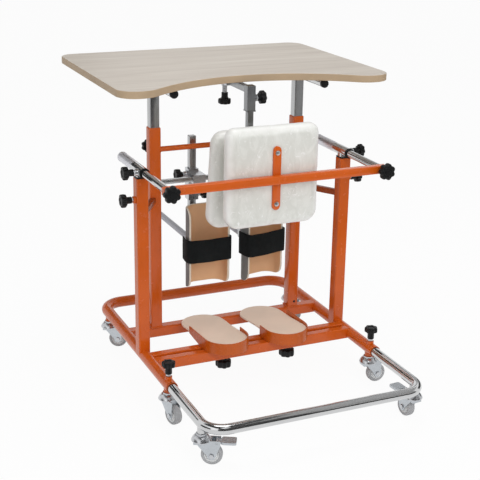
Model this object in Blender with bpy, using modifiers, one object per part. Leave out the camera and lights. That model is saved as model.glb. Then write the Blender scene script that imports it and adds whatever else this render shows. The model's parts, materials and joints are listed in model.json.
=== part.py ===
"""Wheeled standing table for a child: welded tube frame, height-adjustable table,
chest and hip pads, knee cups, foot plates, sliding base extension and six casters.

Metres, +Z up. The user stands on the foot plates facing +Y, +X is on the user's right.
"""
import math

import bmesh
import bpy
from mathutils import Matrix, Vector

# Fits and clearances
GAP = 0.0003              # between two pieces that rest on each other
SLIDE_FIT = 0.0008        # on the diameter of a sliding tube
PIN_FIT = 0.0006          # on the diameter of a pin, stud or axle
ROUND_SIDES = 16          # facets round a tube
PIN_SIDES = 12            # facets round a pin, boss or hole
WHEEL_SIDES = 24
BEND_STEPS = 5            # chords in a bent corner
MERGE = 0.00001           # points closer than this are one
SMOOTH_ANGLE = 35         # degrees; sharper edges stay sharp

# Base frame: a bent rail open to the front, with cross members
RAIL_D = 0.030
RAIL_WALL = 0.0022
RAIL_Z = 0.100
BASE_WIDTH = 0.560        # between the axes of the side rails
REAR_RAIL_Y = 0.400
RAIL_FRONT_Y = -0.170
REAR_BEND = 0.055
RAIL_BORE_DEPTH = 0.270
BASE_KNOB_SET = 0.026     # from a rail's mouth to its knob
BEAM = 0.028              # square cross beam under the tall posts
FOOT_RAIL_Y = -0.012      # middle of the slot between the two foot bars
FOOT_BAR_W = 0.022
FOOT_BAR_H = 0.028
FOOT_SLOT = 0.012

# Posts of the upper frame
POST = 0.030
POST_WALL = 0.0022
TALL_POST_INSET = 0.078   # from a side rail's axis
TALL_POST_Y = 0.170
TALL_POST_TOP = 0.660
TALL_POST_BORE = 0.330
SHORT_POST_Y = 0.045
SHORT_POST_TOP = 0.568
SHORT_POST_BORE = 0.280
BRACE = 0.015
BRACE_DROP = 0.098        # below the short posts' tops
UPPER_BAR_D = 0.014
UPPER_BAR_DROP = 0.058    # below the tall posts' tops
TABLE_KNOB_DROP = 0.060   # below the tall posts' tops
UPPER_BAR_SET = 0.006     # how far the bar stands before the posts' middle
KNEE_BAR = 0.012
KNEE_BAR_DROP = 0.147     # below the tall posts' tops

# Base extension: a chrome U that slides in the side rails
EXTENSION_FRONT_Y = -0.405
EXTENSION_BEND = 0.050
EXTENSION_INSERT = 0.160
EXTENSION_CASTER_Y = -0.358

# Table
TABLE_W = 0.714
TABLE_NEAR_Y = -0.055
TABLE_FAR_Y = 0.492
TABLE_THICK = 0.018
TABLE_TOP_Z = 0.800
FAR_CORNER = 0.040
NEAR_CORNER = 0.048
CUTOUT_DEPTH = 0.110
CUTOUT_HALF = 0.280       # where the cut-out would meet the straight near edge
EAR_BLEND = 0.070
CUTOUT_STEPS = 10
EAR_STEPS = 5
CORNER_STEPS = 6
TABLE_TUBE_D = 0.020
TABLE_TUBE_NEAR_Y = 0.018
TABLE_TUBE_FAR_Y = 0.420
COLUMN_INSERT = 0.260

# Chest support
PAD_W = 0.240
PAD_H = 0.244
PAD_THICK = 0.042
PAD_CROWN = 0.003
PAD_DRAW = 0.002
PAD_LOOPS = ((-0.8, -0.3, 0.3, 0.8), (-0.45, 0.45), (-0.72, -0.2, 0.3, 0.83))
PAD_EDGE = 0.9            # share of the half size beyond which a point is on a side
PAD_CORNER = 0.5          # share beyond which a point belongs to a corner
PAD_ROUND = 0.2           # how far the lower corners are drawn in
CHEST_PAD_TAPER = 0.011   # how far each side of the chest pad draws in to its top
HIP_PAD_TAPER = 0.001
CHEST_PAD_Y = 0.000       # middle of the pad's thickness
CHEST_PAD_DROP = 0.243    # from the table's top to the pad's middle
CHEST_SLEEVE = 0.022
CHEST_WALL = 0.0029
CHEST_SLEEVE_H = 0.064
CHEST_SLEEVE_DROP = 0.003  # from the board to the sleeve's top
CHEST_BAR_DROP = 0.001     # from the sleeve's top to the bar's top
CHEST_BRACKET_Y = 0.187
CHEST_BRACKET_L = 0.074
CHEST_PLATE = 0.004
CHEST_PLATE_W = 0.070
CHEST_SLIDE_END_Y = 0.300
CHEST_BAR_REACH = 0.057   # of the pad's bar below the pad's middle

# Arms and hip support
ARM_SLEEVE_D = 0.026
ARM_SLEEVE_WALL = 0.0028
ARM_SEAT = 0.004          # collar height between a short post and its sleeve
ARM_KNOB_DROP = 0.055     # from a short post's top to its knob
ARM_KNOB_SET = 0.020      # from a sleeve's mouth to its knob
ARM_STEM_INSERT = 0.230
ARM_SLEEVE_REAR_Y = 0.186
ARM_SLEEVE_MOUTH_Y = 0.014
ARM_TUBE_REAR_Y = 0.158
HIP_BAR = 0.020
HIP_BAR_Y = -0.146
HIP_BAR_OVERHANG = 0.012
HIP_FLAT_W = 0.020
HIP_FLAT_T = 0.005
HIP_FLAT_H = 0.157
WELD_SINK = 0.0006        # how far one welded piece is let into the other
HIP_PAD_LIFT = 0.003

# Knee supports
LEFT_KNEE_X = -0.080      # as set along the knee bar
RIGHT_KNEE_X = 0.0685
LEFT_CUP_YAW = 0          # degrees, as set on the tubes
RIGHT_CUP_YAW = 12
KNEE_POST = 0.018
KNEE_POST_RISE = 0.105    # above the knee bar
KNEE_WALL = 0.030         # between the bar's bore and the post's bore
CLAMP_WALL = 0.0045
CLAMP_BELOW = 0.068       # below the knee bar
CLAMP_ABOVE = 0.017
CLAMP_BAR_BLOCK = 0.026
KNEE_TUBE_D = 0.018
KNEE_TUBE_Z = 0.327
KNEE_TUBE_END_Y = 0.465
CUP_W = 0.114
CUP_FRONT_Y = 0.087
CUP_DEPTH = 0.056
CUP_WALL = 0.006
CUP_LOW_Z = 0.239
CUP_HIGH_Z = 0.4545
CUP_BACK_CORNER = 0.034
CUP_EDGE_CORNER = 0.028
CUP_ARCH = 0.001
STRAP_W = 0.062
STRAP_T = 0.003
STRAP_Z = 0.345
STRAP_REACH = 0.038
STRAP_CORNER = 0.012

# Feet
LEFT_FOOT_X = -0.080      # as set along the slot
RIGHT_FOOT_X = 0.103
LEFT_TRAY_SET = 0.000     # how far a tray's middle lies to the right of its stud
RIGHT_TRAY_SET = -0.013
FOOT_YAW = 4              # degrees, as turned on the studs
HEEL_R = 0.060            # outside of the tray round the heel
HEEL_SET = 0.010          # the heel's centre lies this far behind the stud
TRAY_WALL = 0.003
TRAY_HEIGHT = 0.0315
TRAY_FLOOR = 0.020        # reach of the tray's floor beyond the stud
TRAY_OUTER = 0.082        # reach of the tray's outer side beyond the stud
TRAY_INNER = 0.020
TRAY_RISE_START = 0.012   # beyond the stud, where the sides' lower edge starts to rise
TRAY_RISE = 0.0117
TRAY_SOCKET = 0.008       # depth of the stud's socket
SOLE_BALL = 0.121         # from the stud to the middle of the toes' arc
SOLE_TOE_W = 0.116
SOLE_TOE_L = 0.058
SOLE_WAIST = 0.002        # how far each side draws in between heel and toes
SOLE_THICK = 0.006
SOLE_HEEL_RISE = 0.0213   # from the tray's underside to the sole's at the heel
SOLE_FALL = 0.013         # from heel to toes
HEEL_STEPS = 16           # chords round the heel
TOE_STEPS = 8             # chords round half of the toes
WAIST_STEPS = 6

# Casters
WHEEL_D = 0.050
WHEEL_W = 0.020
HUB_D = 0.016
RIM_D = 0.031
WHEEL_DISH = 0.0065       # half the wheel's width where the tyre meets the hub
TYRE_SHOULDER = 0.0036
CASTER_TRAIL = 0.024
CASTER_TOP_Z = 0.072
FRONT_CASTER_Y = -0.138
REAR_CASTER_Y = 0.335
STUB_D = 0.020
STEM_D = 0.010
STEM_H = 0.011
CROWN_D = 0.046
CROWN_TOP_D = 0.030
CROWN_H = 0.012
CHEEK_T = 0.0025
CHEEK_GAP = 0.001
CHEEK_FRONT = 0.0175      # reach of a cheek before the swivel's axis
CHEEK_TIP = 0.010         # radius of a cheek's round end
TIP_STEPS = 6
AXLE_D = 0.008
PEDAL_X = 0.036
PEDAL_Z = 0.0575
PEDAL_BARREL_D = 0.008
PEDAL_PIN_D = 0.004
PEDAL_L = 0.044
PEDAL_W = 0.030
PEDAL_T = 0.004

# Star knobs
KNOB_LOBES = 7
KNOB_POINTS = 3           # outline points in a lobe
LOBE_DEPTH = 0.16
STUD_D = 0.008
BOSS_D = 0.018
BOSS_H = 0.006
LARGE_KNOB = {"head": 0.042, "thick": 0.017, "hub": 0.022, "rise": 0.010}
FOOT_KNOB = {"head": 0.042, "thick": 0.019, "hub": 0.022, "rise": 0.013}
SMALL_KNOB = {"head": 0.034, "thick": 0.014, "hub": 0.017, "rise": 0.009}
ARM_KNOB = {"head": 0.034, "thick": 0.014, "hub": 0.017, "rise": 0.017}
BASE_KNOB = {"head": 0.034, "thick": 0.014, "hub": 0.017, "rise": 0.024}
CHEST_KNOB = {"head": 0.034, "thick": 0.014, "hub": 0.017, "rise": 0.034}

# Sizes that follow from those above
RAIL_BORE = RAIL_D - 2 * RAIL_WALL
EXTENSION_D = RAIL_BORE - SLIDE_FIT
RAIL_X = BASE_WIDTH / 2
TALL_POST_X = RAIL_X - TALL_POST_INSET
BRACE_Z = SHORT_POST_TOP - BRACE_DROP
UPPER_BAR_Z = TALL_POST_TOP - UPPER_BAR_DROP
KNEE_BAR_Z = TALL_POST_TOP - KNEE_BAR_DROP
POST_BORE = POST - 2 * POST_WALL
COLUMN = POST_BORE - SLIDE_FIT
TABLE_LOW_Z = TABLE_TOP_Z - TABLE_THICK
TABLE_TUBE_Z = TABLE_LOW_Z - GAP - TABLE_TUBE_D / 2
ARM_BORE = ARM_SLEEVE_D - 2 * ARM_SLEEVE_WALL
ARM_TUBE_D = ARM_BORE - SLIDE_FIT
ARM_Z = SHORT_POST_TOP + ARM_SEAT + ARM_SLEEVE_D / 2
HIP_BAR_REAR_Y = HIP_BAR_Y + HIP_BAR / 2
ARM_TUBE_FRONT_Y = HIP_BAR_REAR_Y + GAP
HIP_PAD_Y = HIP_BAR_REAR_Y + HIP_FLAT_T + GAP + PAD_THICK / 2
HIP_PAD_Z = ARM_Z + HIP_PAD_LIFT
CHEST_BORE = CHEST_SLEEVE - 2 * CHEST_WALL
CHEST_BAR = CHEST_BORE - SLIDE_FIT
CHEST_PAD_Z = TABLE_TOP_Z - CHEST_PAD_DROP
CHEST_BAR_LOW_Z = CHEST_PAD_Z - CHEST_BAR_REACH
CHEST_POST_Y = CHEST_PAD_Y + PAD_THICK / 2 + GAP + CHEST_BAR / 2
CHEST_PLATE_Z = TABLE_LOW_Z - GAP - CHEST_PLATE
CHEST_BAR_Z = CHEST_PLATE_Z - CHEST_SLEEVE / 2 + WELD_SINK
CHEST_SLEEVE_TOP = TABLE_LOW_Z - CHEST_SLEEVE_DROP
CHEST_BAR_TOP = CHEST_SLEEVE_TOP - CHEST_BAR_DROP
CHEST_KNOB_Z = CHEST_SLEEVE_TOP - CHEST_SLEEVE_H / 2
KNEE_BAR_BORE = KNEE_BAR + SLIDE_FIT
KNEE_POST_TOP = KNEE_BAR_Z + KNEE_POST_RISE
CLAMP_LOW_Z = KNEE_BAR_Z - CLAMP_BELOW
CLAMP_HIGH_Z = KNEE_BAR_Z + CLAMP_ABOVE
KNEE_POST_BORE = KNEE_POST + SLIDE_FIT
KNEE_POST_Y = TALL_POST_Y + (KNEE_BAR_BORE + KNEE_POST_BORE) / 2 + KNEE_WALL
CUP_BACK_Y = CUP_FRONT_Y + CUP_DEPTH
KNEE_TUBE_START_Y = CUP_BACK_Y + GAP
FOOT_BAR_TOP = RAIL_Z + FOOT_BAR_H / 2
TRAY_Z = FOOT_BAR_TOP + GAP
SOLE_Z = TRAY_Z + SOLE_HEEL_RISE
SOLE_HEEL_R = HEEL_R - TRAY_WALL - GAP
STUB_LOW_Z = CASTER_TOP_Z + GAP
WHEEL_Z = WHEEL_D / 2
CHEEK_Y = WHEEL_W / 2 + CHEEK_GAP
STUD_HOLE = STUD_D + PIN_FIT
BASE_KNOB_Y = RAIL_FRONT_Y + BASE_KNOB_SET
SIDES = (("left", -1), ("right", 1))
# Each caster's name, side, place along the base, swivel in degrees and whether it has a brake
CASTERS = (("rear_left", -1, REAR_CASTER_Y, -24, False),
           ("rear_right", 1, REAR_CASTER_Y, -75, False),
           ("middle_left", -1, FRONT_CASTER_Y, -75, False),
           ("middle_right", 1, FRONT_CASTER_Y, 0, False),
           ("front_left", -1, EXTENSION_CASTER_Y, -28, True),
           ("front_right", 1, EXTENSION_CASTER_Y, 95, True))

# The object's footprint is centred on the origin
FRONT_REACH = EXTENSION_FRONT_Y - EXTENSION_D / 2
DEPTH_SHIFT = -(FRONT_REACH + TABLE_FAR_Y) / 2


for old in list(bpy.data.objects):
    bpy.data.objects.remove(old, do_unlink=True)

PARTS = bpy.data.collections.new("standing_table")
bpy.context.scene.collection.children.link(PARTS)
ROOT = bpy.data.objects.new("standing_table_frame", None)
ROOT.location = (0, DEPTH_SHIFT, 0)
PARTS.objects.link(ROOT)


def finish(name, colour, roughness, metallic):
    """A Principled material for one kind of surface."""
    material = bpy.data.materials.new(name)
    material.use_nodes = True
    shader = material.node_tree.nodes["Principled BSDF"]
    shader.inputs["Base Color"].default_value = (*colour, 1)
    shader.inputs["Roughness"].default_value = roughness
    shader.inputs["Metallic"].default_value = metallic
    material.diffuse_color = (*colour, 1)
    return material


ORANGE = finish("orange_powder_coat", (0.60, 0.13, 0.025), 0.40, 0.0)
CHROME = finish("chrome_tube", (0.72, 0.73, 0.74), 0.12, 1.0)
ZINC = finish("zinc_plate", (0.55, 0.56, 0.57), 0.35, 1.0)
BLACK = finish("black_plastic", (0.012, 0.013, 0.014), 0.38, 0.0)
LAMINATE = finish("oak_laminate", (0.56, 0.50, 0.43), 0.45, 0.0)
VINYL = finish("cream_vinyl", (0.70, 0.68, 0.62), 0.40, 0.0)
TAN = finish("tan_moulding", (0.55, 0.34, 0.20), 0.55, 0.0)
WEBBING = finish("black_webbing", (0.010, 0.011, 0.013), 0.80, 0.0)
TYRE = finish("grey_tyre", (0.30, 0.31, 0.32), 0.55, 0.0)


def mesh_object(bm):
    mesh = bpy.data.meshes.new("solid")
    bmesh.ops.recalc_face_normals(bm, faces=bm.faces)
    bm.to_mesh(mesh)
    bm.free()
    obj = bpy.data.objects.new("solid", mesh)
    PARTS.objects.link(obj)
    return obj


def box(low, high):
    """A box between two corners."""
    low, high = Vector(low), Vector(high)
    bm = bmesh.new()
    bmesh.ops.create_cube(bm, size=1)
    bmesh.ops.scale(bm, vec=high - low, verts=bm.verts)
    bmesh.ops.translate(bm, vec=(low + high) / 2, verts=bm.verts)
    return mesh_object(bm)


def post(x, y, size, low, high):
    """A square upright."""
    half = size / 2
    return box((x - half, y - half, low), (x + half, y + half, high))


def aimed(start, end):
    """The matrix that takes +Z at the origin to the middle of a line."""
    start, end = Vector(start), Vector(end)
    turn = (end - start).to_track_quat("Z", "Y").to_matrix().to_4x4()
    return Matrix.Translation((start + end) / 2) @ turn


def rod(start, end, diameter, end_diameter=None, sides=ROUND_SIDES):
    """A round bar, or a cone when the second diameter differs."""
    bm = bmesh.new()
    tip = diameter if end_diameter is None else end_diameter
    length = (Vector(end) - Vector(start)).length
    bmesh.ops.create_cone(bm, cap_ends=True, segments=sides, depth=length,
                          radius1=diameter / 2, radius2=tip / 2)
    bmesh.ops.transform(bm, matrix=aimed(start, end), verts=bm.verts)
    return mesh_object(bm)


def square_bar(start, end, size):
    """A square bar along a level line."""
    bm = bmesh.new()
    length = (Vector(end) - Vector(start)).length
    bmesh.ops.create_cube(bm, size=1)
    bmesh.ops.scale(bm, vec=(size, size, length), verts=bm.verts)
    bmesh.ops.transform(bm, matrix=aimed(start, end), verts=bm.verts)
    return mesh_object(bm)


def rounded(points, radius, steps=BEND_STEPS):
    """A polyline whose inner corners are replaced by arcs."""
    points = [Vector(p) for p in points]
    path = [points[0]]
    for before, corner, after in zip(points, points[1:], points[2:]):
        into = (before - corner).normalized()
        out = (after - corner).normalized()
        half = into.angle(out) / 2
        centre = corner + (into + out).normalized() * radius / math.sin(half)
        first = (corner + into * radius / math.tan(half) - centre).normalized()
        last = (corner + out * radius / math.tan(half) - centre).normalized()
        for step in range(steps + 1):
            path.append(centre + first.slerp(last, step / steps) * radius)
    path.append(points[-1])
    return path


def as_mesh(curve, location=(0, 0, 0)):
    """The closed mesh of a curve."""
    guide = bpy.data.objects.new("guide", curve)
    PARTS.objects.link(guide)
    bpy.context.view_layer.update()
    shape = guide.evaluated_get(bpy.context.evaluated_depsgraph_get())
    bm = bmesh.new()
    bm.from_mesh(bpy.data.meshes.new_from_object(shape))
    bmesh.ops.remove_doubles(bm, verts=bm.verts, dist=MERGE)
    bmesh.ops.translate(bm, vec=location, verts=bm.verts)
    bpy.data.objects.remove(guide)
    return mesh_object(bm)


def bent_tube(points, diameter, bend):
    """A round tube along a path with bent corners."""
    path = rounded(points, bend)
    curve = bpy.data.curves.new("tube", "CURVE")
    curve.dimensions = "3D"
    curve.bevel_depth = diameter / 2
    curve.bevel_resolution = ROUND_SIDES // 2 - 2
    curve.use_fill_caps = True
    spline = curve.splines.new("POLY")
    spline.points.add(len(path) - 1)
    for point, place in zip(spline.points, path):
        point.co = (*place, 1)
    return as_mesh(curve)


def prism(outline, low, high):
    """A flat outline in XY, extruded between two heights."""
    curve = bpy.data.curves.new("outline", "CURVE")
    curve.dimensions = "2D"
    curve.fill_mode = "BOTH"
    curve.extrude = (high - low) / 2
    spline = curve.splines.new("POLY")
    spline.points.add(len(outline) - 1)
    for point, (x, y) in zip(spline.points, outline):
        point.co = (x, y, 0, 1)
    spline.use_cyclic_u = True
    return as_mesh(curve, (0, 0, (low + high) / 2))


def moved(obj, offset):
    obj.data.transform(Matrix.Translation(offset))
    return obj


def evaluated(obj):
    """Bakes an object's modifiers into its mesh."""
    bpy.context.view_layer.update()
    shape = obj.evaluated_get(bpy.context.evaluated_depsgraph_get())
    mesh = bpy.data.meshes.new_from_object(shape)
    obj.modifiers.clear()
    obj.data = mesh
    return obj


def combined(base, tools, operation):
    for tool in tools:
        modifier = base.modifiers.new("combine", "BOOLEAN")
        modifier.operation = operation
        modifier.solver = "EXACT"
        modifier.object = tool
    evaluated(base)
    for tool in tools:
        bpy.data.objects.remove(tool)
    return base


def joined(base, *tools):
    return combined(base, tools, "UNION")


def cut(base, *tools):
    return combined(base, tools, "DIFFERENCE")


def common(base, *tools):
    return combined(base, tools, "INTERSECT")


def band(path, low, high, thickness):
    """An upright wall along a path in XY, thickened to the left of its run."""
    bm = bmesh.new()
    foot = [bm.verts.new((x, y, low)) for x, y in path]
    edges = [bm.edges.new(pair) for pair in zip(foot, foot[1:])]
    raised = bmesh.ops.extrude_edge_only(bm, edges=edges)["geom"]
    top = [item for item in raised if isinstance(item, bmesh.types.BMVert)]
    bmesh.ops.translate(bm, vec=(0, 0, high - low), verts=top)
    mesh = bpy.data.meshes.new("wall")
    bm.to_mesh(mesh)
    bm.free()
    obj = bpy.data.objects.new("wall", mesh)
    PARTS.objects.link(obj)
    shell = obj.modifiers.new("shell", "SOLIDIFY")
    shell.thickness = thickness
    shell.offset = 0
    shell.use_even_offset = True
    evaluated(obj)
    bm = bmesh.new()
    bm.from_mesh(obj.data)
    bpy.data.objects.remove(obj)
    return mesh_object(bm)


def named(obj, name, material, pivot):
    """Names a finished piece, gives it its finish and puts its origin on its pivot."""
    pivot = Vector(pivot)
    obj.data.transform(Matrix.Translation(-pivot))
    obj.location = pivot
    obj.name = name
    obj.data.name = name
    obj.parent = ROOT
    obj.data.materials.clear()
    obj.data.materials.append(material)
    obj.data.shade_smooth()
    obj.data.set_sharp_from_angle(angle=math.radians(SMOOTH_ANGLE))
    return obj


def knob_ring(bm, height, radius, lobed):
    """One level of a knob: a circle, or the same circle notched between its lobes."""
    count = KNOB_LOBES * KNOB_POINTS
    ring = []
    for step in range(count):
        angle = 2 * math.pi * step / count
        notch = LOBE_DEPTH * (1 + math.cos(KNOB_LOBES * angle)) / 2 if lobed else 0
        reach = radius * (1 - notch)
        ring.append(bm.verts.new((reach * math.cos(angle), reach * math.sin(angle), height)))
    return ring


def star_knob(name, seat, axis, stud_length, style):
    """A lobed hand knob whose hub sits on a boss and whose stud reaches inwards."""
    head, hub = style["head"] / 2, style["hub"] / 2
    rise, top = style["rise"], style["rise"] + style["thick"]
    edge = style["thick"] / 4
    levels = ((-stud_length, STUD_D / 2, False), (0, STUD_D / 2, False), (0, hub, False),
              (rise, hub, False), (rise, head, True), (top - edge, head, True),
              (top, head - edge, True))
    bm = bmesh.new()
    rings = [knob_ring(bm, *level) for level in levels]
    for lower, upper in zip(rings, rings[1:]):
        for step in range(len(lower)):
            bm.faces.new((lower[step - 1], lower[step], upper[step], upper[step - 1]))
    bm.faces.new(rings[0])
    bm.faces.new(rings[-1])
    axis = Vector(axis)
    place = Vector(seat) + axis * GAP
    turn = axis.to_track_quat("Z", "Y").to_matrix().to_4x4()
    bmesh.ops.transform(bm, matrix=Matrix.Translation(place) @ turn, verts=bm.verts)
    return named(mesh_object(bm), name, BLACK, place)


def stud_hole(seat, axis, depth):
    """The hole that a knob's stud passes through, from just above its seat."""
    seat, axis = Vector(seat), Vector(axis)
    return rod(seat + axis * STUD_D, seat - axis * depth, STUD_HOLE, sides=PIN_SIDES)


def stem_hole(x, y):
    """The hole that a caster's stem turns in, open below."""
    return rod((x, y, STUB_LOW_Z - STEM_H), (x, y, STUB_LOW_Z + STEM_H), STEM_D + PIN_FIT,
               sides=PIN_SIDES)


def boss(centre, seat):
    """A round boss from the middle of what carries it out to a knob's seat."""
    return rod(centre, seat, BOSS_D, sides=PIN_SIDES)


def base_frame():
    """The bent rail with its cross members, caster stubs and knob bosses."""
    rail = bent_tube([(-RAIL_X, RAIL_FRONT_Y, RAIL_Z), (-RAIL_X, REAR_RAIL_Y, RAIL_Z),
                      (RAIL_X, REAR_RAIL_Y, RAIL_Z), (RAIL_X, RAIL_FRONT_Y, RAIL_Z)],
                     RAIL_D, REAR_BEND)
    solids = [box((-RAIL_X, TALL_POST_Y - BEAM / 2, RAIL_Z - BEAM / 2),
                  (RAIL_X, TALL_POST_Y + BEAM / 2, RAIL_Z + BEAM / 2))]
    for way in (-1, 1):
        middle = FOOT_RAIL_Y + way * (FOOT_SLOT + FOOT_BAR_W) / 2
        solids.append(box((-RAIL_X, middle - FOOT_BAR_W / 2, RAIL_Z - FOOT_BAR_H / 2),
                          (RAIL_X, middle + FOOT_BAR_W / 2, RAIL_Z + FOOT_BAR_H / 2)))
    holes = []
    boss_top = RAIL_Z + RAIL_D / 2 + BOSS_H
    for _, sign in SIDES:
        x = sign * RAIL_X
        for y in (FRONT_CASTER_Y, REAR_CASTER_Y):
            solids.append(rod((x, y, STUB_LOW_Z), (x, y, RAIL_Z), STUB_D))
            holes.append(stem_hole(x, y))
        solids.append(boss((x, BASE_KNOB_Y, RAIL_Z), (x, BASE_KNOB_Y, boss_top)))
        holes.append(rod((x, RAIL_FRONT_Y - RAIL_D, RAIL_Z),
                         (x, RAIL_FRONT_Y + RAIL_BORE_DEPTH, RAIL_Z), RAIL_BORE))
        holes.append(stud_hole((x, BASE_KNOB_Y, boss_top), (0, 0, 1), BOSS_H + RAIL_D / 2))
    frame = cut(joined(rail, *solids), *holes)
    named(frame, "base_frame", ORANGE, (0, 0, RAIL_Z))
    for side, sign in SIDES:
        seat = (sign * RAIL_X, BASE_KNOB_Y, boss_top)
        depth = boss_top - RAIL_Z - EXTENSION_D / 2 - GAP
        star_knob(side + "_base_knob", seat, (0, 0, 1), depth, BASE_KNOB)


def upper_frame():
    """Tall and short posts with their braces, the upper cross bar and the knee bar."""
    low = RAIL_Z + BEAM / 2 + GAP
    saddle = RAIL_Z + RAIL_D / 4
    posts, holes, knobs = [], [], []
    table_knob_z = TALL_POST_TOP - TABLE_KNOB_DROP
    arm_knob_z = SHORT_POST_TOP - ARM_KNOB_DROP
    wall = BOSS_H + POST / 2
    for side, sign in SIDES:
        tall_x, short_x = sign * TALL_POST_X, sign * RAIL_X
        posts.append(post(tall_x, TALL_POST_Y, POST, low, TALL_POST_TOP))
        posts.append(post(short_x, SHORT_POST_Y, POST, saddle, SHORT_POST_TOP))
        posts.append(square_bar((tall_x, TALL_POST_Y, BRACE_Z),
                                (short_x, SHORT_POST_Y, BRACE_Z), BRACE))
        holes.append(post(tall_x, TALL_POST_Y, POST_BORE, TALL_POST_TOP - TALL_POST_BORE,
                          TALL_POST_TOP + POST))
        holes.append(post(short_x, SHORT_POST_Y, POST_BORE, SHORT_POST_TOP - SHORT_POST_BORE,
                          SHORT_POST_TOP + POST))
        holes.append(rod((short_x, RAIL_FRONT_Y, RAIL_Z), (short_x, REAR_RAIL_Y, RAIL_Z),
                         RAIL_D + 4 * GAP))
        behind, beside = Vector((0, 1, 0)), Vector((sign, 0, 0))
        for name, out, x, y, z in ((side + "_table_knob", behind, tall_x, TALL_POST_Y, table_knob_z),
                                   (side + "_arm_height_knob", beside, short_x, SHORT_POST_Y, arm_knob_z)):
            centre = Vector((x, y, z))
            seat = centre + out * wall
            posts.append(boss(centre, seat))
            holes.append(stud_hole(seat, out, wall))
            knobs.append((name, seat, out))
    middle = TALL_POST_Y - UPPER_BAR_SET
    posts.append(rod((-TALL_POST_X, middle, UPPER_BAR_Z), (TALL_POST_X, middle, UPPER_BAR_Z),
                     UPPER_BAR_D))
    posts.append(square_bar((-TALL_POST_X, TALL_POST_Y, KNEE_BAR_Z),
                            (TALL_POST_X, TALL_POST_Y, KNEE_BAR_Z), KNEE_BAR))
    frame = cut(joined(*posts), *holes)
    named(frame, "upper_frame", ORANGE, (0, 0, RAIL_Z))
    for name, seat, out in knobs:
        star_knob(name, seat, out, wall - COLUMN / 2 - GAP, ARM_KNOB)


def table_outline():
    """The table's edge: round far corners, ears at the near side and a shallow cut-out."""
    half = TABLE_W / 2
    radius = (CUTOUT_HALF ** 2 + CUTOUT_DEPTH ** 2) / (2 * CUTOUT_DEPTH)
    centre_y = TABLE_NEAR_Y + CUTOUT_DEPTH - radius
    # The ear's arc is tangent to the near edge and to the cut-out's circle
    ear_y = TABLE_NEAR_Y + EAR_BLEND
    ear_x = math.sqrt((radius + EAR_BLEND) ** 2 - (ear_y - centre_y) ** 2)
    lean = math.atan2(ear_x, ear_y - centre_y)
    # The near corner starts where the ear ends at the latest
    corner = min(NEAR_CORNER, half - ear_x)
    right = []

    def arc(x, y, size, start, end, steps):
        for step in range(steps + 1):
            angle = start + (end - start) * step / steps
            right.append((x + size * math.cos(angle), y + size * math.sin(angle)))

    quarter = math.pi / 2
    arc(0, centre_y, radius, quarter, quarter - lean, CUTOUT_STEPS)
    right.pop()
    arc(ear_x, ear_y, EAR_BLEND, 3 * quarter - lean, 3 * quarter, EAR_STEPS)
    arc(half - corner, TABLE_NEAR_Y + corner, corner, -quarter, 0, CORNER_STEPS)
    arc(half - FAR_CORNER, TABLE_FAR_Y - FAR_CORNER, FAR_CORNER, 0, quarter, CORNER_STEPS)
    left = [(-x, y) for x, y in reversed(right[1:])]
    return right + left


def table():
    """The board and the two chrome columns that telescope in the tall posts."""
    board = prism(table_outline(), TABLE_LOW_Z, TABLE_TOP_Z)
    named(board, "table_top", LAMINATE, (0, TALL_POST_Y, TABLE_LOW_Z))
    for side, sign in SIDES:
        x = sign * TALL_POST_X
        tube = rod((x, TABLE_TUBE_NEAR_Y, TABLE_TUBE_Z), (x, TABLE_TUBE_FAR_Y, TABLE_TUBE_Z),
                   TABLE_TUBE_D)
        column = post(x, TALL_POST_Y, COLUMN, TALL_POST_TOP - COLUMN_INSERT, TABLE_TUBE_Z)
        named(joined(tube, column), side + "_table_column", CHROME,
              (x, TALL_POST_Y, TABLE_LOW_Z))


def cushion(name, centre, rear_flat, taper):
    """An upholstered pad with crowned face, drawn-in sides and rounder lower corners."""
    half = Vector((PAD_W, PAD_THICK, PAD_H)) / 2
    bm = bmesh.new()
    bmesh.ops.create_cube(bm, size=2)
    for axis, shares in enumerate(PAD_LOOPS):
        normal = Vector((0, 0, 0))
        normal[axis] = 1
        for share in shares:
            everything = bm.verts[:] + bm.edges[:] + bm.faces[:]
            bmesh.ops.bisect_plane(bm, geom=everything, plane_co=normal * share, plane_no=normal)
    for vert in bm.verts:
        x, y, z = vert.co
        facing = -rear_flat * y
        middle = (1 - x * x) * (1 - z * z)
        lower = max(0, -z) ** 3
        if abs(x) > PAD_EDGE:
            x *= 1 - PAD_DRAW / half.x * (1 - z * z)
        elif abs(x) > PAD_CORNER:
            x *= 1 - PAD_ROUND * lower
        if abs(z) > PAD_EDGE:
            z *= 1 - PAD_DRAW / half.z * (1 - x * x)
        y *= 1 + (PAD_CROWN / half.y * middle if facing > PAD_EDGE else 0)
        x *= 1 - taper / half.x * max(0, z)
        vert.co = (x * half.x, y * half.y, z * half.z)
    pad = mesh_object(bm)
    soft = pad.modifiers.new("soft", "SUBSURF")
    soft.levels = 1
    soft.render_levels = 1
    evaluated(pad)
    moved(pad, centre)
    return named(pad, name, VINYL, centre)


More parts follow.
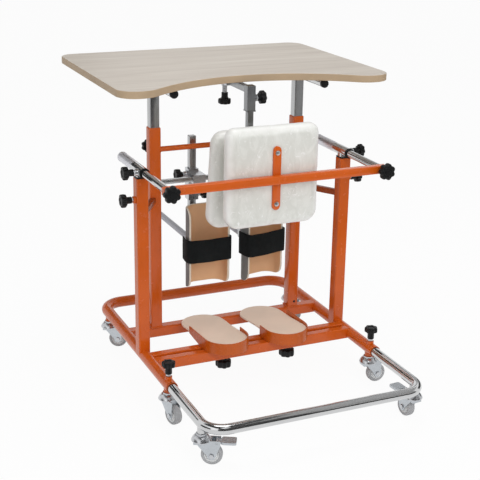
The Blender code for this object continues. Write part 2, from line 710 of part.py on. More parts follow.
def chest_support():
    """Bracket under the table, depth slide with its upright sleeve, pad bar and pad."""
    half = CHEST_SLEEVE / 2
    near, far = CHEST_BRACKET_Y - CHEST_BRACKET_L / 2, CHEST_BRACKET_Y + CHEST_BRACKET_L / 2
    down = Vector((0, 0, -1))
    depth_wall = BOSS_H + half
    depth_seat = Vector((0, CHEST_BRACKET_Y, CHEST_BAR_Z)) + down * depth_wall
    bracket = joined(
        box((-half, near, CHEST_BAR_Z - half), (half, far, CHEST_BAR_Z + half)),
        box((-CHEST_PLATE_W / 2, near - GAP, CHEST_PLATE_Z),
            (CHEST_PLATE_W / 2, far + GAP, CHEST_PLATE_Z + CHEST_PLATE)),
        boss((0, CHEST_BRACKET_Y, CHEST_BAR_Z), depth_seat))
    bracket = cut(bracket,
                  square_bar((0, near - POST, CHEST_BAR_Z), (0, far + POST, CHEST_BAR_Z),
                             CHEST_BORE),
                  stud_hole(depth_seat, down, depth_wall))
    named(bracket, "chest_bracket", CHROME, (0, CHEST_BRACKET_Y, CHEST_BAR_Z))
    reach = depth_wall - CHEST_BAR / 2 - GAP
    star_knob("chest_depth_knob", depth_seat, down, reach, CHEST_KNOB)

    out = Vector((1, 0, 0))
    height_seat = Vector((0, CHEST_POST_Y, CHEST_KNOB_Z)) + out * depth_wall
    low = CHEST_SLEEVE_TOP - CHEST_SLEEVE_H
    slide = joined(
        post(0, CHEST_POST_Y, CHEST_SLEEVE, low, CHEST_SLEEVE_TOP),
        square_bar((0, CHEST_POST_Y, CHEST_BAR_Z), (0, CHEST_SLIDE_END_Y, CHEST_BAR_Z),
                   CHEST_BAR),
        boss((0, CHEST_POST_Y, CHEST_KNOB_Z), height_seat))
    slide = cut(slide, post(0, CHEST_POST_Y, CHEST_BORE, low - POST, CHEST_SLEEVE_TOP + POST),
                stud_hole(height_seat, out, depth_wall))
    named(slide, "chest_slide_bar", CHROME, (0, CHEST_BRACKET_Y, CHEST_BAR_Z))
    star_knob("chest_height_knob", height_seat, out, reach, SMALL_KNOB)
    bar = post(0, CHEST_POST_Y, CHEST_BAR, CHEST_BAR_LOW_Z, CHEST_BAR_TOP)
    named(bar, "chest_pad_bar", CHROME, (0, CHEST_POST_Y, CHEST_SLEEVE_TOP))
    cushion("chest_pad", Vector((0, CHEST_PAD_Y, CHEST_PAD_Z)), 1, CHEST_PAD_TAPER)


def arms_and_hip():
    """Stems and sleeves on the short posts, sliding arm tubes, hip bar and hip pad."""
    knob_wall = BOSS_H + ARM_SLEEVE_D / 2
    knob_y = ARM_SLEEVE_MOUTH_Y + ARM_KNOB_SET
    for side, sign in SIDES:
        x = sign * RAIL_X
        out = Vector((sign, 0, 0))
        seat = Vector((x, knob_y, ARM_Z)) + out * knob_wall
        sleeve = joined(
            rod((x, ARM_SLEEVE_REAR_Y, ARM_Z), (x, ARM_SLEEVE_MOUTH_Y, ARM_Z), ARM_SLEEVE_D),
            post(x, SHORT_POST_Y, COLUMN, SHORT_POST_TOP - ARM_STEM_INSERT, ARM_Z),
            boss((x, knob_y, ARM_Z), seat))
        sleeve = cut(sleeve,
                     rod((x, ARM_SLEEVE_REAR_Y + POST, ARM_Z),
                         (x, ARM_SLEEVE_MOUTH_Y - POST, ARM_Z), ARM_BORE),
                     stud_hole(seat, out, knob_wall))
        named(sleeve, side + "_arm_sleeve", CHROME, (x, SHORT_POST_Y, ARM_Z))
        star_knob(side + "_arm_depth_knob", seat, out, knob_wall - ARM_TUBE_D / 2 - GAP, ARM_KNOB)

        screw = HIP_BAR
        front = Vector((0, -1, 0))
        tube = rod((x, ARM_TUBE_REAR_Y, ARM_Z), (x, ARM_TUBE_FRONT_Y, ARM_Z), ARM_TUBE_D)
        tube = cut(tube, stud_hole((x, ARM_TUBE_FRONT_Y, ARM_Z), front, screw + GAP))
        named(tube, side + "_arm_tube", CHROME, (x, ARM_TUBE_FRONT_Y, ARM_Z))
        star_knob(side + "_hip_knob", (x, HIP_BAR_Y - HIP_BAR / 2, ARM_Z), front,
                  HIP_BAR + screw, LARGE_KNOB)

    reach = RAIL_X + HIP_BAR_OVERHANG
    bar = square_bar((-reach, HIP_BAR_Y, ARM_Z), (reach, HIP_BAR_Y, ARM_Z), HIP_BAR)
    half = (HIP_FLAT_H - HIP_FLAT_W) / 2
    rear = HIP_BAR_REAR_Y + HIP_FLAT_T
    near = HIP_BAR_REAR_Y - WELD_SINK
    flat = box((-HIP_FLAT_W / 2, near, ARM_Z - half), (HIP_FLAT_W / 2, rear, ARM_Z + half))
    ends = [rod((0, near, ARM_Z + way * half), (0, rear, ARM_Z + way * half), HIP_FLAT_W)
            for way in (-1, 1)]
    bar = joined(bar, joined(flat, *ends))
    holes = [stud_hole((sign * RAIL_X, HIP_BAR_Y - HIP_BAR / 2, ARM_Z), (0, -1, 0), 2 * HIP_BAR)
             for _, sign in SIDES]
    named(cut(bar, *holes), "hip_bar", ORANGE, (0, HIP_BAR_Y, ARM_Z))
    cushion("hip_pad", Vector((0, HIP_PAD_Y, HIP_PAD_Z)), -1, HIP_PAD_TAPER)


def knee_cup():
    """A trough round the shin: flat back with round corners, rounded free edges."""
    inset = CUP_WALL / 2
    half = CUP_W / 2 - inset
    back = CUP_BACK_Y - inset
    path = rounded([(-half, CUP_FRONT_Y, 0), (-half, back, 0), (half, back, 0),
                    (half, CUP_FRONT_Y, 0)], CUP_BACK_CORNER)
    shell = band([(p.x, p.y) for p in path], CUP_LOW_Z, CUP_HIGH_Z, CUP_WALL)
    # The side view has round front corners, drawn in XY and stood up on its edge
    rear = CUP_BACK_Y + CUP_WALL
    side = rounded([(rear, CUP_LOW_Z, 0), (CUP_FRONT_Y, CUP_LOW_Z, 0),
                    (CUP_FRONT_Y, CUP_HIGH_Z, 0), (rear, CUP_HIGH_Z, 0)], CUP_EDGE_CORNER)
    profile = prism([(p.x, p.y) for p in side], -CUP_W, CUP_W)
    profile.data.transform(Matrix(((0, 0, 1, 0), (1, 0, 0, 0), (0, 1, 0, 0), (0, 0, 0, 1))))
    shell = common(shell, profile)
    radius = (half ** 2 + CUP_ARCH ** 2) / (2 * CUP_ARCH)
    arch_z = CUP_LOW_Z + CUP_ARCH - radius
    arch = rod((0, CUP_FRONT_Y - CUP_W, arch_z), (0, CUP_BACK_Y + CUP_W, arch_z), 2 * radius,
               sides=4 * ROUND_SIDES)
    return cut(shell, arch)


def knee_strap():
    """A broad webbing strap across the open front of a cup, ending on its sides."""
    half = CUP_W / 2 + 2 * GAP + STRAP_T / 2
    front = CUP_FRONT_Y - GAP - STRAP_CORNER
    rear = CUP_FRONT_Y + STRAP_REACH
    path = rounded([(-half, rear, 0), (-half, front, 0), (half, front, 0), (half, rear, 0)],
                   STRAP_CORNER)
    return band([(p.x, p.y) for p in path], STRAP_Z - STRAP_W / 2, STRAP_Z + STRAP_W / 2, STRAP_T)


def knee_support(side, sign, x, yaw):
    """Clamp on the knee bar, post with its depth tube, and the cup and strap turned on the tube's end."""
    sleeve = KNEE_POST_BORE + 2 * CLAMP_WALL
    bar_half = KNEE_BAR_BORE / 2 + CLAMP_WALL
    block_x = CLAMP_BAR_BLOCK / 2 + CLAMP_WALL
    wall = BOSS_H + sleeve / 2
    clamp = joined(
        post(x, KNEE_POST_Y, sleeve, CLAMP_LOW_Z, CLAMP_HIGH_Z),
        box((x - block_x, TALL_POST_Y - bar_half, KNEE_BAR_Z - bar_half),
            (x + block_x, KNEE_POST_Y, KNEE_BAR_Z + bar_half)))
    holes = [square_bar((x - CUP_W, TALL_POST_Y, KNEE_BAR_Z), (x + CUP_W, TALL_POST_Y, KNEE_BAR_Z),
                        KNEE_BAR_BORE),
             post(x, KNEE_POST_Y, KNEE_POST_BORE, CLAMP_LOW_Z - POST, CLAMP_HIGH_Z + POST)]
    knobs = []
    for name, way, z in (("_knee_outer_knob", sign, KNEE_BAR_Z),
                         ("_knee_inner_knob", -sign, CLAMP_LOW_Z + BOSS_D / 2 + CLAMP_WALL)):
        out = Vector((way, 0, 0))
        centre = Vector((x, KNEE_POST_Y, z))
        far = block_x + BOSS_H if z == KNEE_BAR_Z else wall
        seat = centre + out * far
        clamp = joined(clamp, boss(centre, seat))
        holes.append(stud_hole(seat, out, far))
        knobs.append((side + name, seat, out, far))
    named(cut(clamp, *holes), side + "_knee_clamp", ZINC, (x, TALL_POST_Y, KNEE_BAR_Z))
    for name, seat, out, far in knobs:
        star_knob(name, seat, out, far - KNEE_POST / 2 - GAP, SMALL_KNOB)
    upright = joined(
        rod((x, KNEE_TUBE_START_Y, KNEE_TUBE_Z), (x, KNEE_TUBE_END_Y, KNEE_TUBE_Z), KNEE_TUBE_D),
        post(x, KNEE_POST_Y, KNEE_POST, KNEE_TUBE_Z, KNEE_POST_TOP))
    named(upright, side + "_knee_post", CHROME, (x, KNEE_POST_Y, KNEE_BAR_Z))
    turn = math.radians(yaw)
    ahead = abs(math.sin(turn)) * KNEE_TUBE_D / 2
    place = (Matrix.Translation((x, KNEE_TUBE_START_Y - ahead, 0)) @ Matrix.Rotation(turn, 4, "Z")
             @ Matrix.Translation((0, -KNEE_TUBE_START_Y, 0)))
    cup, strap = knee_cup(), knee_strap()
    cup.data.transform(place)
    strap.data.transform(place)
    named(cup, side + "_knee_cup", TAN, (x, CUP_BACK_Y, KNEE_TUBE_Z))
    named(strap, side + "_knee_strap", WEBBING, (x, CUP_FRONT_Y, STRAP_Z))


def heel_path(left, right):
    """The middle of a tray's wall in XY, stud at the origin: round the heel with two sides."""
    radius = HEEL_R - TRAY_WALL / 2
    path = [(-radius, left)]
    for step in range(HEEL_STEPS + 1):
        angle = math.pi * (1 + step / HEEL_STEPS)
        path.append((radius * math.cos(angle), radius * math.sin(angle) - HEEL_SET))
    path.append((radius, right))
    return path


def sole_outline():
    """A sole seen from above, stud at the origin, toes to +Y."""
    quarter = math.pi / 2
    heel, toe = SOLE_HEEL_R, SOLE_TOE_W / 2
    length = SOLE_BALL + HEEL_SET
    right = []
    for step in range(HEEL_STEPS // 2 + 1):
        angle = quarter * (2 * step / HEEL_STEPS - 1)
        right.append((heel * math.cos(angle), heel * math.sin(angle) - HEEL_SET))
    for step in range(1, WAIST_STEPS):
        share = step / WAIST_STEPS
        draw = SOLE_WAIST * math.sin(math.pi * share) ** 2
        right.append((heel + (toe - heel) * share - draw, length * share - HEEL_SET))
    for step in range(TOE_STEPS + 1):
        angle = quarter * step / TOE_STEPS
        right.append((toe * math.cos(angle), SOLE_BALL + SOLE_TOE_L * math.sin(angle)))
    left = [(-x, y) for x, y in reversed(right[1:-1])]
    return right + left


def sloped(solid, slope, y, z):
    """Tilts a solid about a line along X and takes it to the given place."""
    solid.data.transform(Matrix.Translation((0, y, z)) @ Matrix.Rotation(slope, 4, "X"))
    return solid


def foot(side, x, tray_set, left, right):
    """A sole that falls to the toes, in its heel tray, held on the foot bars by a knob from below."""
    place = (Matrix.Translation((x, FOOT_RAIL_Y, 0)) @ Matrix.Rotation(math.radians(FOOT_YAW), 4, "Z")
             @ Matrix.Translation((tray_set, 0, 0)))
    pivot = (x, FOOT_RAIL_Y, TRAY_Z)
    size = SOLE_BALL + SOLE_TOE_L + HEEL_R
    heel_back = -HEEL_SET - SOLE_HEEL_R
    fall = -math.atan2(SOLE_FALL, SOLE_BALL + SOLE_TOE_L - heel_back)
    rise = math.atan2(TRAY_RISE, TRAY_OUTER - TRAY_RISE_START)
    roof = SOLE_Z + SOLE_THICK

    def layer(low, high):
        return sloped(box((-size, -size, low), (size, 2 * size, high)), fall, heel_back, SOLE_Z)

    floor = cut(prism(heel_path(TRAY_FLOOR, TRAY_FLOOR), TRAY_Z, roof), layer(-GAP, size))
    tray = joined(band(heel_path(left, right), TRAY_Z, TRAY_Z + TRAY_HEIGHT, TRAY_WALL), floor)
    tray = cut(tray, sloped(box((-size, 0, -size), (size, size, 0)), rise, TRAY_RISE_START, TRAY_Z),
               rod((-tray_set, 0, TRAY_Z - TRAY_SOCKET), (-tray_set, 0, TRAY_Z + TRAY_SOCKET), STUD_HOLE,
                   sides=PIN_SIDES))
    tray.data.transform(place)
    named(tray, side + "_heel_cup", ORANGE, pivot)
    sole = common(prism(sole_outline(), TRAY_Z, roof + GAP), layer(0, SOLE_THICK))
    sole.data.transform(place)
    named(sole, side + "_sole", TAN, pivot)
    seat = (x, FOOT_RAIL_Y, RAIL_Z - FOOT_BAR_H / 2)
    star_knob(side + "_foot_knob", seat, (0, 0, -1), TRAY_Z + TRAY_SOCKET - seat[2], FOOT_KNOB)


def base_extension():
    """The chrome U with a caster socket at each front corner."""
    inner = RAIL_FRONT_Y + EXTENSION_INSERT
    tube = bent_tube([(-RAIL_X, inner, RAIL_Z), (-RAIL_X, EXTENSION_FRONT_Y, RAIL_Z),
                      (RAIL_X, EXTENSION_FRONT_Y, RAIL_Z), (RAIL_X, inner, RAIL_Z)],
                     EXTENSION_D, EXTENSION_BEND)
    sockets, holes = [], []
    for _, sign in SIDES:
        place = (sign * RAIL_X, EXTENSION_CASTER_Y)
        sockets.append(rod((*place, STUB_LOW_Z), (*place, RAIL_Z), STUB_D))
        holes.append(stem_hole(*place))
    tube = cut(joined(tube, *sockets), *holes)
    named(tube, "base_extension", CHROME, (0, RAIL_FRONT_Y, RAIL_Z))


def caster_fork(braked):
    """Swivel crown, stem, two cheeks and the axle, trailing towards +X."""
    crown_low = CASTER_TOP_Z - CROWN_H
    cheek_top = crown_low + CROWN_H / 4
    roof_low = WHEEL_D + CHEEK_GAP
    rear = PEDAL_X + PEDAL_BARREL_D if braked else CASTER_TRAIL + CHEEK_TIP
    outline = [(-CHEEK_FRONT, cheek_top), (CASTER_TRAIL - CHEEK_TIP, WHEEL_Z)]
    for step in range(1, TIP_STEPS):
        angle = math.pi * (1 + step / TIP_STEPS)
        outline.append((CASTER_TRAIL + CHEEK_TIP * math.cos(angle),
                        WHEEL_Z + CHEEK_TIP * math.sin(angle)))
    outline += [(CASTER_TRAIL + CHEEK_TIP, WHEEL_Z), (rear, roof_low), (rear, cheek_top)]
    fork = rod((0, 0, crown_low), (0, 0, CASTER_TOP_Z), CROWN_D, CROWN_TOP_D)
    solids = [rod((0, 0, CASTER_TOP_Z - CROWN_H / 2), (0, 0, CASTER_TOP_Z + STEM_H - GAP), STEM_D,
                  sides=PIN_SIDES),
              box((-CHEEK_FRONT, -CHEEK_Y - CHEEK_T / 2, roof_low),
                  (CASTER_TRAIL, CHEEK_Y + CHEEK_T / 2, cheek_top))]
    for way in (-1, 1):
        inner = way * CHEEK_Y
        outer = way * (CHEEK_Y + CHEEK_T)
        cheek = prism(outline, min(inner, outer), max(inner, outer))
        cheek.data.transform(Matrix(((1, 0, 0, 0), (0, 0, 1, 0), (0, 1, 0, 0), (0, 0, 0, 1))))
        cheek.data.flip_normals()
        solids.append(cheek)
    reach = CHEEK_Y + CHEEK_T + CHEEK_GAP
    solids.append(rod((CASTER_TRAIL, -reach, WHEEL_Z), (CASTER_TRAIL, reach, WHEEL_Z), AXLE_D,
                      sides=PIN_SIDES))
    fork = joined(fork, *solids)
    if braked:
        fork = cut(fork, rod((PEDAL_X, -CROWN_D, PEDAL_Z), (PEDAL_X, CROWN_D, PEDAL_Z),
                             PEDAL_PIN_D + PIN_FIT, sides=PIN_SIDES))
    return fork


def caster_wheel():
    """A tyre on its hub, turned about the axle."""
    radius, half = WHEEL_D / 2, WHEEL_W / 2
    bore = (AXLE_D + PIN_FIT) / 2
    profile = [(bore, half), (bore, -half), (HUB_D / 2, -half), (RIM_D / 2, -WHEEL_DISH),
               (radius - TYRE_SHOULDER, -half), (radius, -TYRE_SHOULDER), (radius, TYRE_SHOULDER),
               (radius - TYRE_SHOULDER, half), (RIM_D / 2, WHEEL_DISH), (HUB_D / 2, half)]
    mesh = bpy.data.meshes.new("tyre")
    count = len(profile)
    edges = [(index, (index + 1) % count) for index in range(count)]
    mesh.from_pydata([(x, 0, z) for x, z in profile], edges, [])
    obj = bpy.data.objects.new("tyre", mesh)
    PARTS.objects.link(obj)
    turn = obj.modifiers.new("turn", "SCREW")
    turn.axis = "Z"
    turn.steps = WHEEL_SIDES
    turn.render_steps = WHEEL_SIDES
    turn.use_merge_vertices = True
    turn.merge_threshold = MERGE
    evaluated(obj)
    bm = bmesh.new()
    bm.from_mesh(obj.data)
    bmesh.ops.remove_doubles(bm, verts=bm.verts, dist=MERGE)
    bpy.data.objects.remove(obj)
    wheel = mesh_object(bm)
    wheel.data.transform(Matrix.Rotation(math.pi / 2, 4, "X"))
    return moved(wheel, (CASTER_TRAIL, 0, WHEEL_Z))


def brake_pedal():
    """A foot pedal on a barrel between the cheeks."""
    half = CHEEK_Y - GAP
    reach = CHEEK_Y + CHEEK_T
    barrel = rod((PEDAL_X, -half, PEDAL_Z), (PEDAL_X, half, PEDAL_Z), PEDAL_BARREL_D,
                 sides=PIN_SIDES)
    pin = rod((PEDAL_X, -reach, PEDAL_Z), (PEDAL_X, reach, PEDAL_Z), PEDAL_PIN_D,
              sides=PIN_SIDES)
    start = PEDAL_X + PEDAL_BARREL_D / 4
    neck_end = PEDAL_X + PEDAL_BARREL_D + 2 * CHEEK_GAP
    low, high = PEDAL_Z - PEDAL_T / 2, PEDAL_Z + PEDAL_T / 2
    neck = box((start, -half + GAP, low), (neck_end + PEDAL_T, half - GAP, high))
    corner = PEDAL_W / 3
    end = PEDAL_X + PEDAL_L
    tread = rounded([(neck_end, 0, 0), (neck_end, -PEDAL_W / 2, 0), (end, -PEDAL_W / 2, 0),
                     (end, PEDAL_W / 2, 0), (neck_end, PEDAL_W / 2, 0), (neck_end, 0, 0)],
                    corner / 2, 3)[:-1]
    plate = prism([(p.x, p.y) for p in tread], low + GAP, high + PEDAL_T / 2)
    return joined(barrel, pin, neck, plate)


def casters():
    """Four plain casters under the frame and two braked ones under the extension."""
    for name, sign, y, yaw, braked in CASTERS:
        turn = Matrix.Rotation(math.radians(yaw), 4, "Z")
        place = Matrix.Translation((sign * RAIL_X, y, 0)) @ turn
        pieces = [(caster_fork(braked), "_caster_fork", ZINC, (0, 0, CASTER_TOP_Z)),
                  (caster_wheel(), "_wheel", TYRE, (CASTER_TRAIL, 0, WHEEL_Z))]
        if braked:
            pieces.append((brake_pedal(), "_brake_pedal", ZINC, (PEDAL_X, 0, PEDAL_Z)))
        for piece, suffix, material, pivot in pieces:
            piece.data.transform(place)
            named(piece, name + suffix, material, place @ Vector(pivot))


base_frame()
upper_frame()
table()
chest_support()
arms_and_hip()
knee_support("left", -1, LEFT_KNEE_X, LEFT_CUP_YAW)
knee_support("right", 1, RIGHT_KNEE_X, RIGHT_CUP_YAW)
foot("left", LEFT_FOOT_X, LEFT_TRAY_SET, TRAY_OUTER, TRAY_INNER)
foot("right", RIGHT_FOOT_X, RIGHT_TRAY_SET, TRAY_INNER, TRAY_OUTER)
base_extension()
casters()
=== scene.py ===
"""Looks for the standing table: finishes, rounded steelwork, star knobs, casters, upholstery and straps."""
import json
import math

import bmesh
import bpy
from mathutils import Matrix, Vector, noise


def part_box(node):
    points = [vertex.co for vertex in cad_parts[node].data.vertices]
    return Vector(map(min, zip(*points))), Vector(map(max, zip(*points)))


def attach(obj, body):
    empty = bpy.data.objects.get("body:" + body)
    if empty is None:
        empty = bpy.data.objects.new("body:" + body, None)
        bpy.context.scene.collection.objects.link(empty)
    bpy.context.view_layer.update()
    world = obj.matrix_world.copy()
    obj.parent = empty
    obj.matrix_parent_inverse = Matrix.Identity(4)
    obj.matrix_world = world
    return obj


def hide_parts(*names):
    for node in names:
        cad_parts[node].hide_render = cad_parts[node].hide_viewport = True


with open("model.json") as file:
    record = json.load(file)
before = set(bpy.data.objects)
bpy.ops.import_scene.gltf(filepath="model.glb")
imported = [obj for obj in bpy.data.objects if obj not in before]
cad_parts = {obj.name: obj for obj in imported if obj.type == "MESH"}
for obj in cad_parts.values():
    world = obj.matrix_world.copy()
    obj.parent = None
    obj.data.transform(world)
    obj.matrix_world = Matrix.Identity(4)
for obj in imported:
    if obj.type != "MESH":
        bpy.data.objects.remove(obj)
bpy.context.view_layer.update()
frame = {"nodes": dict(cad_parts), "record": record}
NODES = frame["nodes"]
BODIES = frame["record"]["behaviour"]["bodies"]
BODY_OF = {node: body for body, nodes in BODIES.items() for node in nodes}

X, Y, Z = Vector((1, 0, 0)), Vector((0, 1, 0)), Vector((0, 0, 1))
SIDES = (("left", -1), ("right", 1))

# Places below are in metres about the footprint's own origin, and pieces are moved by this much
SHIFT = Vector((0, -0.0373, 0))
RAIL_X, RAIL_Z, RAIL_RADIUS = 0.280, 0.100, 0.015
RAIL_MOUTH_Y = -0.170
STEM_Y = {"rear": 0.335, "middle": -0.138, "front": -0.358}
TALL_X, TALL_Y, SHORT_Y = 0.202, 0.170, 0.045
POST_SIZE, COLUMN_SIZE = 0.030, 0.0248
CROSS_TUBE_Y, CROSS_TUBE_Z = 0.164, 0.602
KNEE_BAR_Z = 0.513
ARM_KNOB_Z = 0.513
ARM_Z = 0.585
TABLE_TUBE_Z = 0.7717
KNEE_TUBE_Y, KNEE_TUBE_Z, KNEE_TUBE_END = 0.1433, 0.327, 0.465


# Finishes

class Finish:
    """A Principled material whose colour, roughness and relief come from its own nodes."""

    def __init__(self, name, slot, metallic=0.0):
        self.material = bpy.data.materials.new(name)
        self.material.use_nodes = True
        self.slot = slot
        self.nodes = self.material.node_tree.nodes
        self.links = self.material.node_tree.links
        self.shader = self.nodes["Principled BSDF"]
        self.shader.inputs["Metallic"].default_value = metallic

    def node(self, kind, **values):
        """A node with its properties and input values, underscores standing for spaces in input names."""
        made = self.nodes.new(kind)
        for key, value in values.items():
            if hasattr(made, key):
                setattr(made, key, value)
            else:
                made.inputs[key.replace("_", " ")].default_value = value
        return made

    def feed(self, socket, value):
        """Links a socket, or sets a number or a colour on it."""
        if isinstance(value, bpy.types.NodeSocket):
            self.links.new(value, socket)
        elif isinstance(value, tuple):
            socket.default_value = (*value, 1)
        else:
            socket.default_value = value

    def maths(self, operation, *values):
        """A Math node fed by sockets and numbers."""
        made = self.node("ShaderNodeMath", operation=operation)
        for socket, value in zip(made.inputs, values):
            self.feed(socket, value)
        return made.outputs[0]

    def place(self, scale):
        """Coordinates on the piece itself, in metres, stretched by a scale."""
        where = self.node("ShaderNodeTexCoord")
        stretch = self.node("ShaderNodeMapping", Scale=scale)
        self.links.new(where.outputs["Object"], stretch.inputs["Vector"])
        return stretch.outputs["Vector"]

    def grain(self, scale, detail=3.0, rough=0.55, stretch=(1, 1, 1), distortion=0.0):
        """Cloudy noise between nought and one."""
        cloud = self.node("ShaderNodeTexNoise", Scale=scale, Detail=detail, Roughness=rough,
                          Distortion=distortion)
        self.links.new(self.place(stretch), cloud.inputs["Vector"])
        return cloud.outputs["Fac"]

    def ramp(self, source, *stops):
        """A colour ramp: stops are (position, colour)."""
        band = self.node("ShaderNodeValToRGB")
        elements = band.color_ramp.elements
        while len(elements) < len(stops):
            elements.new(0.5)
        for element, (position, colour) in zip(elements, stops):
            element.position = position
            element.color = (*colour, 1)
        self.links.new(source, band.inputs["Fac"])
        return band.outputs["Color"]

    def span(self, source, low, high, start=0.3, end=0.7):
        """A value taken from one range, start to end, to another, low to high."""
        remap = self.node("ShaderNodeMapRange", From_Min=start, From_Max=end, To_Min=low, To_Max=high)
        self.links.new(source, remap.inputs["Value"])
        return remap.outputs["Result"]

    def blend(self, share, first, second, mode="MIX"):
        """Two colours mixed by a share. The numbers are the Mix node's own colour sockets."""
        mix = self.node("ShaderNodeMix", data_type="RGBA", blend_type=mode)
        for socket, value in ((0, share), (6, first), (7, second)):
            self.feed(mix.inputs[socket], value)
        return mix.outputs[2]

    def border(self):
        """A ragged share that rises towards the sides of the piece's own box."""
        where = self.node("ShaderNodeTexCoord")
        split = self.node("ShaderNodeSeparateXYZ")
        self.links.new(where.outputs["Generated"], split.inputs["Vector"])
        reach = []
        for axis in ("X", "Z"):
            off_middle = self.maths("SUBTRACT", split.outputs[axis], 0.5)
            reach.append(self.maths("ABSOLUTE", off_middle))
        far = self.maths("MAXIMUM", *reach)
        ragged = self.maths("MULTIPLY_ADD", self.grain(24, 3), 0.06, far)
        return self.span(ragged, 0.0, 0.7, 0.455, 0.515)

    def colour(self, source):
        self.links.new(source, self.shader.inputs["Base Color"])

    def roughness(self, source):
        self.links.new(source, self.shader.inputs["Roughness"])

    def relief(self, source, strength, distance, socket="Normal"):
        """Bump from a height, on the surface or on its clear coat."""
        bump = self.node("ShaderNodeBump", Strength=strength, Distance=distance)
        self.links.new(source, bump.inputs["Height"])
        self.links.new(bump.outputs["Normal"], self.shader.inputs[socket])

    def set(self, **values):
        """Values that are the same all over the surface."""
        for key, value in values.items():
            self.shader.inputs[key.replace("_", " ")].default_value = value


def shade(colour, factor):
    return tuple(min(1, channel * factor) for channel in colour)


def painted(name, slot, base, rough, swing=0.07, tint=0.07, gloss=0.5, peel=0.05):
    """A sprayed or moulded surface: soft mottling, uneven gloss and a fine orange-peel relief."""
    made = Finish(name, slot)
    patches = made.grain(9, 4)
    made.colour(made.ramp(patches, (0.3, shade(base, 1 - tint)), (0.7, shade(base, 1 + tint))))
    made.roughness(made.span(made.grain(60, 3), rough - swing, rough + swing))
    made.relief(made.grain(900, 2), peel, 0.0004)
    made.set(Specular_IOR_Level=gloss)
    return made


def plated(name, slot, base, rough, swing, tint, scale, stretch=(1, 1, 1), relief=0.02):
    """Bare or plated metal with faint cloudiness and uneven polish."""
    made = Finish(name, slot, 1.0)
    clouds = made.grain(scale, 4, stretch=stretch)
    made.colour(made.ramp(clouds, (0.3, shade(base, 1 - tint)), (0.7, shade(base, 1 + tint))))
    made.roughness(made.span(made.grain(scale * 3, 3, stretch=stretch), rough - swing, rough + swing))
    made.relief(made.grain(scale * 8, 2, stretch=stretch), relief, 0.0003)
    return made


# Drawn tube has its streaks along its length
UPRIGHT, LEVEL = (1, 1, 0.02), (1, 0.15, 1)

ORANGE = painted("orange_powder_coat", "orange_powder_coat", (0.625, 0.106, 0.0070), 0.22, gloss=0.45)
# A darker copy of the orange for the heel trays: painted shade
SHADED_TRAY_ORANGE = painted("shaded_tray_powder_coat", "orange_powder_coat", (0.540, 0.100, 0.0070), 0.26, gloss=0.36)
# A darker copy of the orange for the braces: painted shade
SHADED_ORANGE = painted("shaded_powder_coat", "orange_powder_coat", (0.300, 0.052, 0.008), 0.30, gloss=0.30)
CHROME = plated("chrome_tube", "chrome_tube", (0.60, 0.605, 0.61), 0.13, 0.02, 0.03, 30, relief=0.005)
STEEL = plated("steel_tube", "chrome_tube", (0.44, 0.445, 0.45), 0.22, 0.03, 0.10, 160, UPRIGHT, 0.01)
DULL = plated("dull_tube", "chrome_tube", (0.25, 0.255, 0.26), 0.24, 0.03, 0.08, 160, UPRIGHT, 0.01)
SATIN = plated("satin_tube", "chrome_tube", (0.70, 0.70, 0.74), 0.42, 0.05, 0.03, 40, LEVEL, 0.01)
PLAIN = painted("grey_tube", "chrome_tube", (0.50, 0.51, 0.56), 0.50, tint=0.03, gloss=0.3, peel=0.03)
ZINC = plated("zinc_plate", "zinc_plate", (0.56, 0.57, 0.59), 0.28, 0.015, 0.02, 60, relief=0.003)
FORK = plated("fork_zinc", "zinc_plate", (0.55, 0.58, 0.61), 0.42, 0.03, 0.03, 60, relief=0.005)
BLACK = painted("black_plastic", "black_plastic", (0.006, 0.0065, 0.007), 0.40, tint=0.25, gloss=0.25,
                peel=0.08)
TYRE = painted("grey_tyre", "grey_tyre", (0.43, 0.435, 0.445), 0.60, tint=0.08, gloss=0.3, peel=0.08)
RIM = painted("wheel_rim", "grey_tyre", (0.82, 0.83, 0.83), 0.45, tint=0.04, gloss=0.4, peel=0.05)
SHELL = painted("cup_shell", "tan_moulding", (0.21, 0.205, 0.20), 0.55, tint=0.08, gloss=0.3, peel=0.08)
LINER = painted("cup_liner", "tan_moulding", (0.74, 0.445, 0.250), 0.60, tint=0.08, gloss=0.3, peel=0.10)
EDGE = painted("cup_rim", "tan_moulding", (0.74, 0.66, 0.55), 0.55, tint=0.05, gloss=0.3, peel=0.06)
SOLE = painted("tan_sole", "tan_sole", (0.95, 0.77, 0.63), 0.70, swing=0.05, tint=0.05, gloss=0.2,
               peel=0.20)
BAND = painted("edge_band", "oak_laminate", (0.47, 0.345, 0.222), 0.5, tint=0.08, gloss=0.3, peel=0.06)


def laminate():
    """Pale grey oak print: broad soft bands along the board, finer streaks and pores."""
    made = Finish("oak_laminate", "oak_laminate")
    white = (1.0, 1.0, 1.0)
    broad = made.ramp(made.grain(3.0, 5, 0.55, (0.5, 7, 1), 0.6), (0.25, (0.515, 0.455, 0.394)),
                      (0.5, (0.602, 0.544, 0.478)), (0.78, (0.670, 0.622, 0.554)))
    streak = made.ramp(made.grain(10, 4, 0.6, (0.35, 14, 1), 0.4), (0.3, (0.87, 0.86, 0.85)), (0.7, white))
    pores = made.ramp(made.grain(60, 2, 0.5, (0.12, 9, 1)), (0.28, (0.86, 0.85, 0.83)), (0.42, white))
    made.colour(made.blend(0.7, made.blend(1.0, broad, streak, "MULTIPLY"), pores, "MULTIPLY"))
    made.roughness(made.span(made.grain(40, 3, stretch=(0.3, 6, 1)), 0.40, 0.52))
    made.relief(made.grain(60, 2, 0.5, (0.12, 9, 1)), 0.06, 0.0004)
    return made


